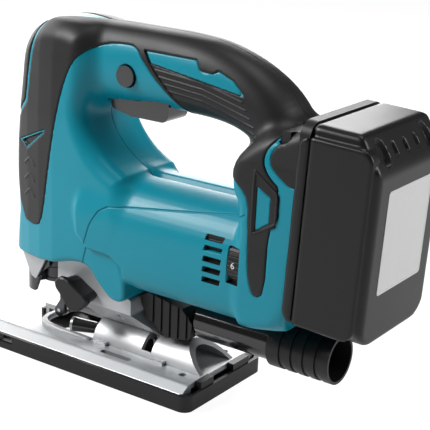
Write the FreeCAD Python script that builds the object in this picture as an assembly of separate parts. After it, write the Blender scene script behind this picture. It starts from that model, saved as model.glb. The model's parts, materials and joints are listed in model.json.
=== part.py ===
"""Cordless top-handle jigsaw, built as an assembly of separate pieces. Sizes are in millimetres.

The tool lies along X with the nose at -X and the battery at +X. +Z is up, the sole rests on z = 0, and the
tool's left side faces -Y. The origin is the middle of the tool's footprint on the sole plane.
"""

import math
import os

import FreeCAD
import Part

V = FreeCAD.Vector
X_AXIS, Y_AXIS, Z_AXIS = V(1, 0, 0), V(0, 1, 0), V(0, 0, 1)

# ---- overall sizes ----
OVERALL_LENGTH = 266.0
OVERALL_HEIGHT = 207.0
BASE_WIDTH = 77.0
BASE_LENGTH = 160.0
BASE_FRONT_X = -OVERALL_LENGTH / 2
BASE_REAR_X = BASE_FRONT_X + BASE_LENGTH

# ---- clearances ----
FACE_GAP = 0.3      # between fixed pieces that seat on each other
RUN_GAP = 0.4       # between pieces that move past each other
SHAFT_GAP = 0.05    # radial, shaft in its bore

# ---- housing shell ----
WALL = 2.6
GRIP_THICK = 1.2
BODY_RADIUS = 33.5
BODY_AXIS_Z = 87.0
BODY_FRONT_X = -60.0
BODY_REAR_X = 56.0
BARREL_STEP_X, BARREL_STEP_Z = -34.0, 66.0    # the barrel is cut away in front of and below this corner
NOSE_X = -126.0
COLUMN_HALF = 28.0
COLUMN_CREASE_X = -82.0
HANDLE_HALF = 18.0
REAR_HALF = 33.0
COVER_TOP_Z = OVERALL_HEIGHT - GRIP_THICK

# ---- battery and its tilt ----
TILT = 2.76
SEAM_X = 86.1
PACK_DEPTH = 39.36
PACK_HALF = 37.5
PACK_BOTTOM = 67.0
PACK_TOP = 178.0
PACK_WALL = 2.2
SHOULDER = 6.0      # how far the wide part of the upper case stands in front of the seam
RAIL_DEPTH = 22.0
RAIL_HALF = 24.0
RAIL_LIP_HALF = 27.0
RAIL_LIP_THICK = 5.0
CELL_RADIUS = 9.0
CELL_LENGTH = 65.0

# ---- drive ----
MODULE = 1.0
PINION_TEETH = 10
GEAR_TEETH = 38
PRESSURE_ANGLE = 25.0
GEAR_AXIS_Z = BODY_AXIS_Z + MODULE * (PINION_TEETH + GEAR_TEETH) / 2
GEAR_X0, GEAR_THICK = -76.0, 8.0
STROKE = 26.0
ROLLER_RADIUS = 4.5
ROLLER_LENGTH = 7.0
CRANK_PIN_RADIUS = 2.5
CRANK_AXLE_RADIUS = 6.0
PLUNGER_X = -104.0
PLUNGER_RADIUS = 5.5
PLUNGER_BOTTOM, PLUNGER_TOP = 44.0, 152.0
YOKE_THICK = 5.5
SHAFT_RADIUS = 3.0
BEARING_RADIUS = 11.0
BEARING_WIDTH = 7.0
STATOR_RADIUS = 26.0
STATOR_BORE = 16.0
STATOR_X0, STATOR_X1 = -24.0, 12.0
REAR_BEARING_X = 22.0
FAN_X0, FAN_RADIUS = -46.0, 24.0

# ---- gear housing ----
GH_HALF = 24.0
GH_WALL = 2.6
GH_FRONT_X = -113.0
GH_REAR_X = -63.0
GH_TOP = 138.0
FOOT_HALF = 20.0
FOOT_SEAT_Z = 24.0   # how low the foot reaches on each side of the bevel arch
FOOT_RISE = 18.6     # height above the middle of the foot's 45 degree flanks, clear of a tilted base
BRACKET_THICK = 3.0
GH_SPLIT_Z = 81.0    # the floor of the gear chamber, where the rear bracket begins

# ---- base ----
PLATE_TOP = 13.4
PLATE_THICK = 3.2
SOLE_THICK = 2.2
SKIRT_TOP = 9.6
SKIRT_WALL = 2.0
SLOT_HALF = 12.0
BEVEL_Z = 9.5
ARCH_RADIUS = 17.0
ARCH_WALL = 3.0
ARCH_FRONT_X, ARCH_REAR_X = -60.0, 2.0

# ---- controls ----
LOCK_X, LOCK_Z = -36.0, 179.0
LOCK_RADIUS = 6.0
LOCK_TRAVEL = 3.0
TRIGGER_X0, TRIGGER_X1 = -54.0, -13.0
TRIGGER_Z0, TRIGGER_Z1 = 154.0, 168.0
TRIGGER_HALF = 9.0
DIAL_X, DIAL_Z, DIAL_RADIUS, DIAL_WIDTH = 50.0, 92.5, 15.5, 7.0
ORBIT_X, ORBIT_Z, ORBIT_RADIUS, ORBIT_ARM = -67.0, 46.0, 6.0, 19.0
ORBIT_SHAFT_RADIUS = 4.0

# ---- dust way ----
DUCT_Z = 41.5
DUCT_RADIUS = 11.7
DUCT_WALL = 1.8
DUCT_ROOM = 0.2      # between the duct and the housing above it
NOZZLE_BORE = DUCT_RADIUS + 0.7
NOZZLE_RADIUS = NOZZLE_BORE + 1.6
NOZZLE_X0, NOZZLE_X1 = 61.0, 100.0


# ---------------------------------------------------------------- helpers
def box(x0, x1, y0, y1, z0, z1):
    return Part.makeBox(x1 - x0, y1 - y0, z1 - z0, V(x0, y0, z0))


def rod(radius, length, start, axis):
    return Part.makeCylinder(radius, length, V(*start), axis)


def tube(outer, inner, length, start, axis):
    return rod(outer, length, start, axis).cut(rod(inner, length, start, axis))


def fused(shapes):
    whole = shapes[0]
    for shape in shapes[1:]:
        whole = whole.fuse(shape)
    return whole.removeSplitter()


def outline(points, radius, place):
    """A closed wire through 2-D points, with each corner rounded. A point may hold its own radius."""
    count = len(points)
    arcs = []
    for i in range(count):
        before, here, after = points[i - 1], points[i], points[(i + 1) % count]
        corner = here[2] if len(here) > 2 else radius
        p, a, b = V(here[0], here[1], 0), V(before[0], before[1], 0), V(after[0], after[1], 0)
        to_a, to_b = (a - p).normalize(), (b - p).normalize()
        half = to_a.getAngle(to_b) / 2
        if corner <= 0 or half > math.radians(89.5):
            arcs.append((p, None, p))
            continue
        reach = corner / math.tan(half)
        centre = p + (to_a + to_b).normalize() * (corner / math.sin(half))
        middle = centre + (p - centre).normalize() * corner
        arcs.append((p + to_a * reach, middle, p + to_b * reach))
    edges = []
    for i, (start, middle, end) in enumerate(arcs):
        if middle is not None:
            edges.append(Part.Arc(place(start), place(middle), place(end)).toShape())
        following = arcs[(i + 1) % count][0]
        if (following - end).Length > 1e-6:
            edges.append(Part.LineSegment(place(end), place(following)).toShape())
    return Part.Wire(Part.__sortEdges__(edges))


def prism_y(points, y0, y1, radius=0.0, grow=0.0):
    """A side outline of (x, z) points, extruded from y0 to y1."""
    face = Part.Face(outline(points, radius, lambda p: V(p.x, y0, p.y)))
    if grow:
        face = face.makeOffset2D(grow, join=2)
    return face.extrude(V(0, y1 - y0, 0))


def prism_z(points, z0, z1, radius=0.0, grow=0.0):
    """A plan outline of (x, y) points, extruded from z0 to z1."""
    face = Part.Face(outline(points, radius, lambda p: V(p.x, p.y, z0)))
    if grow:
        face = face.makeOffset2D(grow, join=2)
    return face.extrude(V(0, 0, z1 - z0))


def prism_x(points, x0, x1, radius=0.0):
    """A cross-section of (y, z) points, extruded from x0 to x1."""
    face = Part.Face(outline(points, radius, lambda p: V(x0, p.x, p.y)))
    return face.extrude(V(x1 - x0, 0, 0))


def both_sides(shape):
    return [shape, shape.mirror(V(0, 0, 0), Y_AXIS)]


def tilted(shape):
    """Leans a shape made upright back by the battery's tilt."""
    leaning = shape.copy()
    leaning.rotate(V(SEAM_X, 0, 0), Y_AXIS, TILT)
    return leaning


def ellipse(x, z, lean, half_width, half_height):
    """A handle section: an ellipse square to a spine that leans down by `lean` degrees."""
    curve = Part.Ellipse(V(0, 0, 0), max(half_height, half_width), min(half_height, half_width))
    wire = Part.Wire(curve.toShape())
    wire.Placement = FreeCAD.Placement(V(0, 0, 0), FreeCAD.Rotation(Y_AXIS, 90))
    wire = Part.Wire(wire.Edges)
    if half_width > half_height:
        wire.rotate(V(0, 0, 0), X_AXIS, 90)
    wire.rotate(V(0, 0, 0), Y_AXIS, lean)
    wire.translate(V(x, 0, z))
    return wire


# ---------------------------------------------------------------- the outer form
COLUMN_SIDE = [
    (-122.0, 56.0, 3), (-125.0, 80.0, 20), (NOSE_X, 119.0, 20), (-121.0, 145.0, 30), (-119.5, 163.0, 20),
    (-116.5, 182.0, 18), (-103.0, 199.0, 16), (-80.0, COVER_TOP_Z - 1.0, 20), (-56.0, COVER_TOP_Z - 1.0, 4),
    (-64.0, 164.0, 6), (-60.0, 148.0, 10), (-52.0, 136.0, 12), (-30.0, 118.0, 8), (-26.0, 60.0, 1),
    (-26.0, 49.5, 2), (-36.0, 49.0, 3), (-45.0, 57.4, 3), (-54.0, 65.5, 4), (-66.0, 65.5, 6), (-84.0, 60.0, 6),
]
COLUMN_PLAN = [
    (NOSE_X, -8.0, 4), (NOSE_X + 2.0, -14.0, 3), (COLUMN_CREASE_X, -COLUMN_HALF, 8), (-24.0, -COLUMN_HALF - 2, 2),
    (-24.0, COLUMN_HALF + 2, 2), (COLUMN_CREASE_X, COLUMN_HALF, 8), (NOSE_X + 2.0, 14.0, 3), (NOSE_X, 8.0, 4),
]
HANDLE_SECTIONS = [
    (-88.0, 180.0, 0, 24.5), (-50.0, 183.0, 0, 23.5), (-10.0, 184.0, 2, 22.3), (25.0, 180.5, 14, 20.0),
    (46.0, 174.0, 35, 17.0), (60.0, 161.0, 62, 13.5), (60.5, 140.0, 84, 15.5),
]
REAR_SIDE = [
    (46.0, 140.0, 6), (48.0, 126.0, 8), (20.0, 116.0, 6), (20.0, 57.5, 6), (58.0, 57.5, 8), (82.5, 64.0, 3),
    (88.5, 170.0, 3), (76.0, 168.0, 6), (60.0, 156.0, 8),
]


def column(grow):
    return prism_y(COLUMN_SIDE, -50, 50, grow=grow).common(prism_z(COLUMN_PLAN, 0, 260, grow=grow))


def handle(grow):
    """The grip: a loft through ellipses along its bowed spine."""
    wires = []
    for x, z, lean, half_height in HANDLE_SECTIONS:
        wires.append(ellipse(x, z, lean, HANDLE_HALF + grow, half_height - GRIP_THICK + grow))
    return Part.makeLoft(wires, True, False)


def motor_barrel(grow):
    reach = BODY_REAR_X - BODY_FRONT_X + 2 * grow
    barrel = rod(BODY_RADIUS + grow, reach, (BODY_FRONT_X - grow, 0, BODY_AXIS_Z), X_AXIS)
    return barrel.cut(box(-200, BARREL_STEP_X - grow, -60, 60, 0, BARREL_STEP_Z - grow))


def rear_mount(grow):
    return prism_y(REAR_SIDE, -REAR_HALF - grow, REAR_HALF + grow, grow=grow)


def mount_face_cut(depth):
    """Everything behind the housing's rear face, which leans with the battery."""
    return tilted(box(SEAM_X - SHOULDER - FACE_GAP - depth, 300, -60, 60, -20, 300))


def outer_form(grow=0.0):
    """The housing's outer shape, grown or shrunk evenly."""
    whole = fused([column(grow), motor_barrel(grow), rear_mount(grow), handle(grow)])
    return whole.cut(mount_face_cut(max(0.0, -grow)))


NODES = {}


def keep(name, *solids):
    NODES[name] = list(solids)


OUTER = outer_form()
INNER = outer_form(-WALL)
GROWN = outer_form(GRIP_THICK)


# ---------------------------------------------------------------- gear housing, bracket and bearings
def gear_block(grow):
    """The space the gear housing fills inside the column."""
    side = [
        (GH_FRONT_X, 57.0), (-85.0, 57.0), (-85.0, 60.5), (GH_REAR_X, 68.0), (GH_REAR_X, GH_TOP),
        (-90.0, GH_TOP), (-90.0, 150.0), (GH_FRONT_X, 150.0),
    ]
    half = GH_HALF + grow
    section = [
        (-13.0 - grow, 50.0), (-13.0 - grow, 62.0), (-FOOT_HALF, 66.0), (-FOOT_HALF, 72.0), (-half, 84.0),
        (-half, 160.0), (half, 160.0), (half, 84.0), (FOOT_HALF, 72.0), (FOOT_HALF, 66.0),
        (13.0 + grow, 62.0), (13.0 + grow, 50.0),
    ]
    block = prism_y(side, -50, 50, grow=grow).common(prism_x(section, -150, 0))
    plan = prism_z(COLUMN_PLAN, 0, 260, grow=-WALL - FACE_GAP + grow)
    return block.common(plan)


def foot():
    """The cast foot below the housing, seated on the bevel arch."""
    seat = ARCH_RADIUS + FACE_GAP
    side = [
        (-84.7, 66.0), (-84.7, 42.0, 3), (-64.5, 31.0, 3), (-61.5, 22.0), (-12.0, 22.0, 1), (-28.4, 38.4, 2),
        (-28.4, 48.4, 2), (-36.2, 48.3, 3), (-45.2, 56.6, 3), (-54.2, 64.8, 3), (-68.0, 65.0),
    ]
    section = [
        (-FOOT_HALF, FOOT_HALF + FOOT_RISE, 1), (-FOOT_HALF, 70.0), (FOOT_HALF, 70.0),
        (FOOT_HALF, FOOT_HALF + FOOT_RISE, 1), (FOOT_SEAT_Z - FOOT_RISE, FOOT_SEAT_Z),
        (FOOT_RISE - FOOT_SEAT_Z, FOOT_SEAT_Z),
    ]
    body = prism_y(side, -50, 50).common(prism_x(section, -90, 0))
    return body.cut(rod(seat, 100, (-100, 0, BEVEL_Z), X_AXIS))


BRACKET_X = GH_REAR_X - BRACKET_THICK
BUSH_RADIUS, BUSH_LENGTH = 8.0, 12.0
LOWER_BUSH_Z, UPPER_BUSH_Z = 71.0, 134.0
CLAMP_RADIUS = 7.5
HOLDER_X, HOLDER_Z, HOLDER_PIN_RADIUS = -92.5, 60.0, 2.0
ROLLER_X, ROLLER_Z, ROLLER_PIN_RADIUS = -96.6, 19.5, 1.2
LEVER_PIN_RADIUS = 3.0
CLAMP_BOLT_X = -20.0


def crank_bore(radius):
    return rod(radius, 30, (BRACKET_X - 5, 0, GEAR_AXIS_Z), X_AXIS)


def gear_housing():
    outer = gear_block(0.0)
    hollow = gear_block(-GH_WALL).common(box(-200, 0, -50, 50, GH_SPLIT_Z, 133))
    shell = outer.cut(hollow).cut(box(BRACKET_X - FACE_GAP, 0, -50, 50, GH_SPLIT_Z, 200))
    shell = shell.cut(box(BRACKET_X - FACE_GAP - 8, 0, -21.4, 21.4, GH_SPLIT_Z, 133))
    shell = shell.fuse(foot()).removeSplitter()
    shell = shell.cut(rod(PLUNGER_RADIUS + 1.5, 140, (PLUNGER_X, 0, 40), Z_AXIS))
    shell = shell.cut(rod(CLAMP_RADIUS + 1.0, 31, (PLUNGER_X, 0, 40), Z_AXIS))
    for z0 in (LOWER_BUSH_Z, UPPER_BUSH_Z):
        shell = shell.cut(rod(BUSH_RADIUS + SHAFT_GAP, BUSH_LENGTH, (PLUNGER_X, 0, z0), Z_AXIS))
    shell = shell.cut(box(-98.5, -87.0, -7.2, 7.2, 50, 66))
    shell = shell.cut(rod(HOLDER_PIN_RADIUS + SHAFT_GAP, 22, (HOLDER_X, -11, HOLDER_Z), Y_AXIS))
    shell = shell.cut(rod(ORBIT_SHAFT_RADIUS + SHAFT_GAP, 30, (ORBIT_X, -30, ORBIT_Z), Y_AXIS))
    shell = shell.cut(rod(3.0 + SHAFT_GAP, 20, (CLAMP_BOLT_X, 0, 20), Z_AXIS))
    for x in (-80.0, -40.0):
        for y in (-14.0, 14.0):
            shell = shell.cut(rod(2.2, 9, (x, y, 30), Z_AXIS))
    return shell


def motor_bracket():
    plate = gear_block(0.0).common(box(BRACKET_X, GH_REAR_X, -50, 50, GH_SPLIT_Z + FACE_GAP, 200))
    boss = rod(BEARING_RADIUS + 2.5, BEARING_WIDTH, (GH_REAR_X, 0, BODY_AXIS_Z), X_AXIS)
    hub = rod(CRANK_AXLE_RADIUS + 3, 3, (GH_REAR_X, 0, GEAR_AXIS_Z), X_AXIS)
    whole = fused([plate, boss, hub])
    whole = whole.cut(rod(BEARING_RADIUS + SHAFT_GAP, BEARING_WIDTH, (GH_REAR_X, 0, BODY_AXIS_Z), X_AXIS))
    whole = whole.cut(rod(8.0, 20, (BRACKET_X - 5, 0, BODY_AXIS_Z), X_AXIS))
    return whole.cut(crank_bore(CRANK_AXLE_RADIUS))


keep("gear_housing", gear_housing())
keep("motor_bracket", motor_bracket())
for name, x0 in (("front_bearing", GH_REAR_X), ("rear_bearing", REAR_BEARING_X)):
    keep(name, tube(BEARING_RADIUS, SHAFT_RADIUS + SHAFT_GAP, BEARING_WIDTH, (x0, 0, BODY_AXIS_Z), X_AXIS))
for name, z0 in (("lower_bushing", LOWER_BUSH_Z), ("upper_bushing", UPPER_BUSH_Z)):
    keep(name, tube(BUSH_RADIUS, PLUNGER_RADIUS + SHAFT_GAP, BUSH_LENGTH, (PLUNGER_X, 0, z0), Z_AXIS))


# ---------------------------------------------------------------- motor and gears
def involute(angle):
    return math.tan(angle) - angle


def gear_blank(teeth, width, x0, z_axis, first_tooth):
    """A spur gear along X. `first_tooth` is the angle of one tooth's middle, from +Y towards +Z."""
    pitch = MODULE * teeth / 2
    pressure = math.radians(PRESSURE_ANGLE)
    base = pitch * math.cos(pressure)
    root, tip = pitch - 1.15 * MODULE, pitch + 0.85 * MODULE
    half_pitch = math.pi / teeth / 2 * 0.93
    steps = [max(root, base) + (tip - max(root, base)) * k / 3 for k in range(4)]
    profile = []
    for tooth in range(teeth):
        middle = first_tooth + 2 * math.pi * tooth / teeth
        flank = []
        for radius in steps:
            turn = half_pitch + involute(pressure) - involute(math.acos(min(1.0, base / radius)))
            flank.append((radius, turn))
        flank.insert(0, (root - 0.01, flank[0][1] + 0.01))
        profile += [(radius, middle - turn) for radius, turn in flank]
        profile += [(radius, middle + turn) for radius, turn in reversed(flank)]
    points = [(r * math.cos(a), r * math.sin(a) + z_axis) for r, a in profile]
    return prism_x(points, x0, x0 + width)


CRANK_RADIUS = STROKE / 2
ROLLER_X0 = GEAR_X0 - 1.0 - ROLLER_LENGTH
YOKE_X0 = ROLLER_X0 - FACE_GAP - YOKE_THICK
SHAFT_X0 = GEAR_X0 - 0.8

pinion = gear_blank(PINION_TEETH, GEAR_THICK, GEAR_X0, BODY_AXIS_Z, math.pi / 2 + math.pi / PINION_TEETH)
pinion = pinion.cut(rod(SHAFT_RADIUS, 40, (GEAR_X0 - 5, 0, BODY_AXIS_Z), X_AXIS))
keep("pinion", pinion)

gear = gear_blank(GEAR_TEETH, GEAR_THICK, GEAR_X0, GEAR_AXIS_Z, -math.pi / 2)
gear = gear.cut(rod(CRANK_AXLE_RADIUS + SHAFT_GAP, 40, (GEAR_X0 - 5, 0, GEAR_AXIS_Z), X_AXIS))
gear = gear.cut(rod(CRANK_PIN_RADIUS, 40, (GEAR_X0 - 5, CRANK_RADIUS, GEAR_AXIS_Z), X_AXIS))
for angle in (90, 180, 270):
    hole = rod(3.5, 40, (GEAR_X0 - 5, CRANK_RADIUS, GEAR_AXIS_Z), X_AXIS)
    hole.rotate(V(0, 0, GEAR_AXIS_Z), X_AXIS, angle)
    gear = gear.cut(hole)
keep("crank_gear", gear)

axle = rod(CRANK_AXLE_RADIUS, GH_REAR_X + 3 - GEAR_X0, (GEAR_X0, 0, GEAR_AXIS_Z), X_AXIS)
keep("crank_axle", axle.fuse(rod(7.5, 0.6, (GEAR_X0 - 0.6, 0, GEAR_AXIS_Z), X_AXIS)).removeSplitter())
keep("crank_pin", rod(CRANK_PIN_RADIUS, GEAR_X0 + GEAR_THICK - ROLLER_X0,
                      (ROLLER_X0, CRANK_RADIUS, GEAR_AXIS_Z), X_AXIS))
keep("crank_roller", tube(ROLLER_RADIUS, CRANK_PIN_RADIUS, ROLLER_LENGTH,
                          (ROLLER_X0, CRANK_RADIUS, GEAR_AXIS_Z), X_AXIS))

keep("rotor_shaft", rod(SHAFT_RADIUS, REAR_BEARING_X + BEARING_WIDTH - SHAFT_X0,
                        (SHAFT_X0, 0, BODY_AXIS_Z), X_AXIS))
keep("rotor_core", tube(STATOR_BORE - RUN_GAP, SHAFT_RADIUS, STATOR_X1 - STATOR_X0,
                        (STATOR_X0, 0, BODY_AXIS_Z), X_AXIS))


def cooling_fan():
    disc = rod(FAN_RADIUS, 1.6, (FAN_X0 + 8.0, 0, BODY_AXIS_Z), X_AXIS)
    disc = disc.fuse(rod(6, 9, (FAN_X0, 0, BODY_AXIS_Z), X_AXIS))
    blades = []
    for k in range(12):
        blade = box(FAN_X0 + 1.0, FAN_X0 + 8.5, 9, FAN_RADIUS - 0.5, BODY_AXIS_Z - 0.6, BODY_AXIS_Z + 0.6)
        blade.rotate(V(0, 9, BODY_AXIS_Z), X_AXIS, 25)
        blade.rotate(V(0, 0, BODY_AXIS_Z), X_AXIS, 30 * k)
        blades.append(blade.common(rod(FAN_RADIUS, 12, (FAN_X0, 0, BODY_AXIS_Z), X_AXIS)))
    return fused([disc] + blades).cut(rod(SHAFT_RADIUS, 40, (-60, 0, BODY_AXIS_Z), X_AXIS))


keep("cooling_fan", cooling_fan())

stator = tube(STATOR_RADIUS, STATOR_BORE, STATOR_X1 - STATOR_X0, (STATOR_X0, 0, BODY_AXIS_Z), X_AXIS)
for k in range(6):
    slot = box(STATOR_X0 - 1, STATOR_X1 + 1, 0, 22, BODY_AXIS_Z - 2.5, BODY_AXIS_Z + 2.5)
    slot.rotate(V(0, 0, BODY_AXIS_Z), X_AXIS, 60 * k + 30)
    stator = stator.cut(slot)
keep("motor_stator", stator)
coils = []
for x0 in (STATOR_X0 - 5.0 - FACE_GAP, STATOR_X1 + FACE_GAP):
    coils.append(tube(STATOR_RADIUS - 2, STATOR_BORE + 1.5, 5.0, (x0, 0, BODY_AXIS_Z), X_AXIS))
keep("motor_windings", *coils)


# ---------------------------------------------------------------- plunger, blade clamp and orbit
def plunger():
    bar = rod(PLUNGER_RADIUS, PLUNGER_TOP - PLUNGER_BOTTOM, (PLUNGER_X, 0, PLUNGER_BOTTOM), Z_AXIS)
    slot_half = CRANK_RADIUS + ROLLER_RADIUS
    z = GEAR_AXIS_Z
    yoke = box(YOKE_X0, YOKE_X0 + YOKE_THICK, -slot_half - 1.2, slot_half + 1.2, z - 8.5, z + 8.5)
    slot = box(YOKE_X0 - 1, YOKE_X0 + YOKE_THICK + 1, -slot_half, slot_half,
               z - ROLLER_RADIUS - 0.1, z + ROLLER_RADIUS + 0.1)
    arm = box(PLUNGER_X, YOKE_X0 + 1, -5.0, 5.0, z - 8.5, z + 8.5)
    groove = box(PLUNGER_X + PLUNGER_RADIUS + 2, YOKE_X0 + 2, -6, 6, z - 4.6, z + 4.6)
    return fused([bar, yoke, arm]).cut(slot).cut(groove)


keep("plunger", plunger())

clamp = tube(CLAMP_RADIUS, PLUNGER_RADIUS, 12, (PLUNGER_X, 0, 44), Z_AXIS)
clamp = clamp.fuse(rod(CLAMP_RADIUS, 6, (PLUNGER_X, 0, 38), Z_AXIS)).removeSplitter()
clamp = clamp.cut(box(PLUNGER_X - 5, PLUNGER_X + 5, -0.8, 0.8, 30, 43.9))
for z in (40.0, 47.0, 53.0):
    clamp = clamp.cut(tube(CLAMP_RADIUS + 1, CLAMP_RADIUS - 0.6, 1.4, (PLUNGER_X, 0, z), Z_AXIS))
keep("blade_clamp", clamp)

OPENER_X, OPENER_Z = -120.0, 52.5


def stadium(radius, z0, z1, rear_x):
    round_end = rod(radius, z1 - z0, (PLUNGER_X - 7, 0, z0), Z_AXIS)
    return round_end.fuse(box(PLUNGER_X - 7, rear_x, -radius, radius, z0, z1)).removeSplitter()


def tool_opener():
    """A U-shaped lever round the blade clamp, hinged under the nose."""
    body = stadium(12.0, 31.0, 55.2, -99.0).cut(stadium(9.6, 30.0, 51.5, -90.0))
    body = body.cut(box(-112.0, -90, -9.6, 9.6, 50, 60))
    side = [(-126, 54.6), (-118, 55.2), (-99, 55.2), (-99, 50), (-106, 44, 4), (-111, 31), (-126, 31)]
    body = body.common(prism_y(side, -20, 20))
    for y0 in (-7.4, 4.0):
        body = body.cut(box(-126, -115.5, y0, y0 + 3.4, 47.5, 60))
    return body.cut(rod(1.5 + SHAFT_GAP, 30, (OPENER_X, -15, OPENER_Z), Y_AXIS))


def opener_ear(y0):
    ear = box(OPENER_X - 2.6, OPENER_X + 3.6, y0, y0 + 2.6, OPENER_Z, 59)
    ear = ear.fuse(rod(2.8, 2.6, (OPENER_X, y0, OPENER_Z), Y_AXIS))
    return ear.cut(rod(1.5, 40, (OPENER_X, -20, OPENER_Z), Y_AXIS))


keep("tool_opener", tool_opener())
keep("opener_pin", rod(1.5, 13.6, (OPENER_X, -6.8, OPENER_Z), Y_AXIS))

guard = [(-119.0, 55.9), (-101.0, 56.6), (-101.0, 53.5), (-108.5, 40.0, 1), (-112.0, 41.5, 1)]
plate = prism_y(guard, -14.0, -12.5)
keep("guard_plates", *both_sides(plate))


def roller_holder():
    """The forked arm that carries the blade roller, hung from a pin in the gear housing."""
    side = [
        (-95.6, 63.0, 2), (-89.5, 63.0, 2), (-88.8, 54.0, 6), (-91.0, 30.0, 6), (-93.0, 16.0, 3),
        (-99.0, 15.5, 3), (-100.0, 20.0, 2), (-95.4, 27.0, 3),
    ]
    body = prism_y(side, -6.2, 6.2)
    body = body.cut(box(-104, -80, -3.4, 3.4, 10, 42))
    body = body.cut(rod(HOLDER_PIN_RADIUS + SHAFT_GAP, 20, (HOLDER_X, -10, HOLDER_Z), Y_AXIS))
    return body.cut(rod(ROLLER_PIN_RADIUS, 20, (ROLLER_X, -10, ROLLER_Z), Y_AXIS))


keep("roller_holder", roller_holder())
keep("holder_pin", rod(HOLDER_PIN_RADIUS, 20, (HOLDER_X, -10, HOLDER_Z), Y_AXIS))
roller = tube(4.2, ROLLER_PIN_RADIUS + SHAFT_GAP, 6.0, (ROLLER_X, -3.0, ROLLER_Z), Y_AXIS)
roller = roller.cut(tube(6, 3.0, 1.4, (ROLLER_X, -0.7, ROLLER_Z), Y_AXIS))
keep("blade_roller", roller)
keep("roller_pin", rod(ROLLER_PIN_RADIUS, 12.4, (ROLLER_X, -6.2, ROLLER_Z), Y_AXIS))


def orbital_lever():
    y0, y1 = -FOOT_HALF - RUN_GAP - 12.5, -FOOT_HALF - RUN_GAP
    hub = rod(ORBIT_RADIUS, y1 - y0, (ORBIT_X, y0, ORBIT_Z), Y_AXIS)
    arm = box(ORBIT_X - ORBIT_ARM, ORBIT_X, y0, y0 + 8.0, ORBIT_Z - 3.4, ORBIT_Z + 3.4)
    tip = rod(3.4, 8.0, (ORBIT_X - ORBIT_ARM, y0, ORBIT_Z), Y_AXIS)
    whole = fused([hub, arm, tip])
    whole.rotate(V(ORBIT_X, 0, ORBIT_Z), Y_AXIS, 28)
    return whole


keep("orbital_lever", orbital_lever())
keep("orbital_shaft", rod(ORBIT_SHAFT_RADIUS, 15, (ORBIT_X, -FOOT_HALF - RUN_GAP, ORBIT_Z), Y_AXIS))


# ---------------------------------------------------------------- base
SLOT_PLAN = [
    (BASE_FRONT_X - 5, -SLOT_HALF), (-106.0, -SLOT_HALF, 2), (-100.0, -SLOT_HALF - 5, 3),
    (-66.0, -SLOT_HALF - 5, 4), (-60.0, -SLOT_HALF + 1, 3), (-60.0, SLOT_HALF - 1, 3), (-66.0, SLOT_HALF + 5, 4),
    (-100.0, SLOT_HALF + 5, 3), (-106.0, SLOT_HALF - 4, 2), (BASE_FRONT_X - 5, SLOT_HALF - 4),
]


def base_plan(inset):
    half = BASE_WIDTH / 2 - inset
    front, rear = BASE_FRONT_X + inset, BASE_REAR_X - inset
    return [
        (front, -half, 6), (rear, -half, 6), (rear, half, 6), (front + 9, half, 6), (front + 9, 6.0, 2),
        (front, -8.0, 2),
    ]


def fence_way():
    """The slot right across the base that the rip fence's bar slides in."""
    return box(-118.0, -106.0, -50, 50, SOLE_THICK + 2.0, SOLE_THICK + 6.8)


def cover_plate():
    """The black sole with its raised rim, hooked over the metal plate's rear edge."""
    body = prism_z(base_plan(0.0), 0, SKIRT_TOP)
    well = prism_z(base_plan(SKIRT_WALL), SOLE_THICK, SKIRT_TOP + 1)
    body = body.cut(well).cut(prism_z(SLOT_PLAN, -1, 30))
    hooks = []
    for y0, y1 in ((-24.0, -12.0), (8.0, 24.0)):
        hooks.append(box(BASE_REAR_X - 5.0, BASE_REAR_X - 0.6, y0, y1, 1.0, PLATE_TOP + 0.6))
    return fused([body] + hooks).cut(fence_way())


def base_plate():
    """The metal plate: a flat top with sloping edges, slotted for the blade and windowed under the arch."""
    gap = SKIRT_WALL + FACE_GAP
    half = BASE_WIDTH / 2 - gap
    low = SOLE_THICK + FACE_GAP
    section = [
        (-half, low), (-half, SKIRT_TOP, 0.5), (-30.0, PLATE_TOP, 4), (30.0, PLATE_TOP, 4), (half, SKIRT_TOP, 0.5),
        (half, low), (half - 3, low), (half - 3, SKIRT_TOP - 2.2), (29.0, PLATE_TOP - PLATE_THICK, 2),
        (-29.0, PLATE_TOP - PLATE_THICK, 2), (-half + 3, SKIRT_TOP - 2.2), (-half + 3, low),
    ]
    front, rear = BASE_FRONT_X + gap, BASE_REAR_X - 5.0 - FACE_GAP
    body = prism_x(section, front, rear)
    rim = prism_z(base_plan(gap), low, PLATE_TOP).cut(prism_z(base_plan(gap + 3.0), low - 1, PLATE_TOP + 1))
    rim = rim.common(box(front, rear, -half, half, low, PLATE_TOP - PLATE_THICK + 0.5))
    body = body.fuse(rim.common(prism_x(section[:6], front, rear))).removeSplitter()
    body = body.common(prism_z(base_plan(gap), 0, 30))
    slot_face = prism_z(SLOT_PLAN, -1, 30, grow=1.2)
    body = body.cut(slot_face).cut(box(-58.0, -6.0, -13.0, 13.0, 0, 30))
    for y in (-21.0, 21.0):
        body = body.cut(rod(2.2, 30, (11.0, y, 0), Z_AXIS))
    body = body.cut(prism_z([(-46.0, -27.0, 1.9), (-24.0, -27.0, 1.9), (-24.0, -23.0, 1.9), (-46.0, -23.0, 1.9)],
                            8, 30))
    return body.cut(fence_way())


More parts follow.
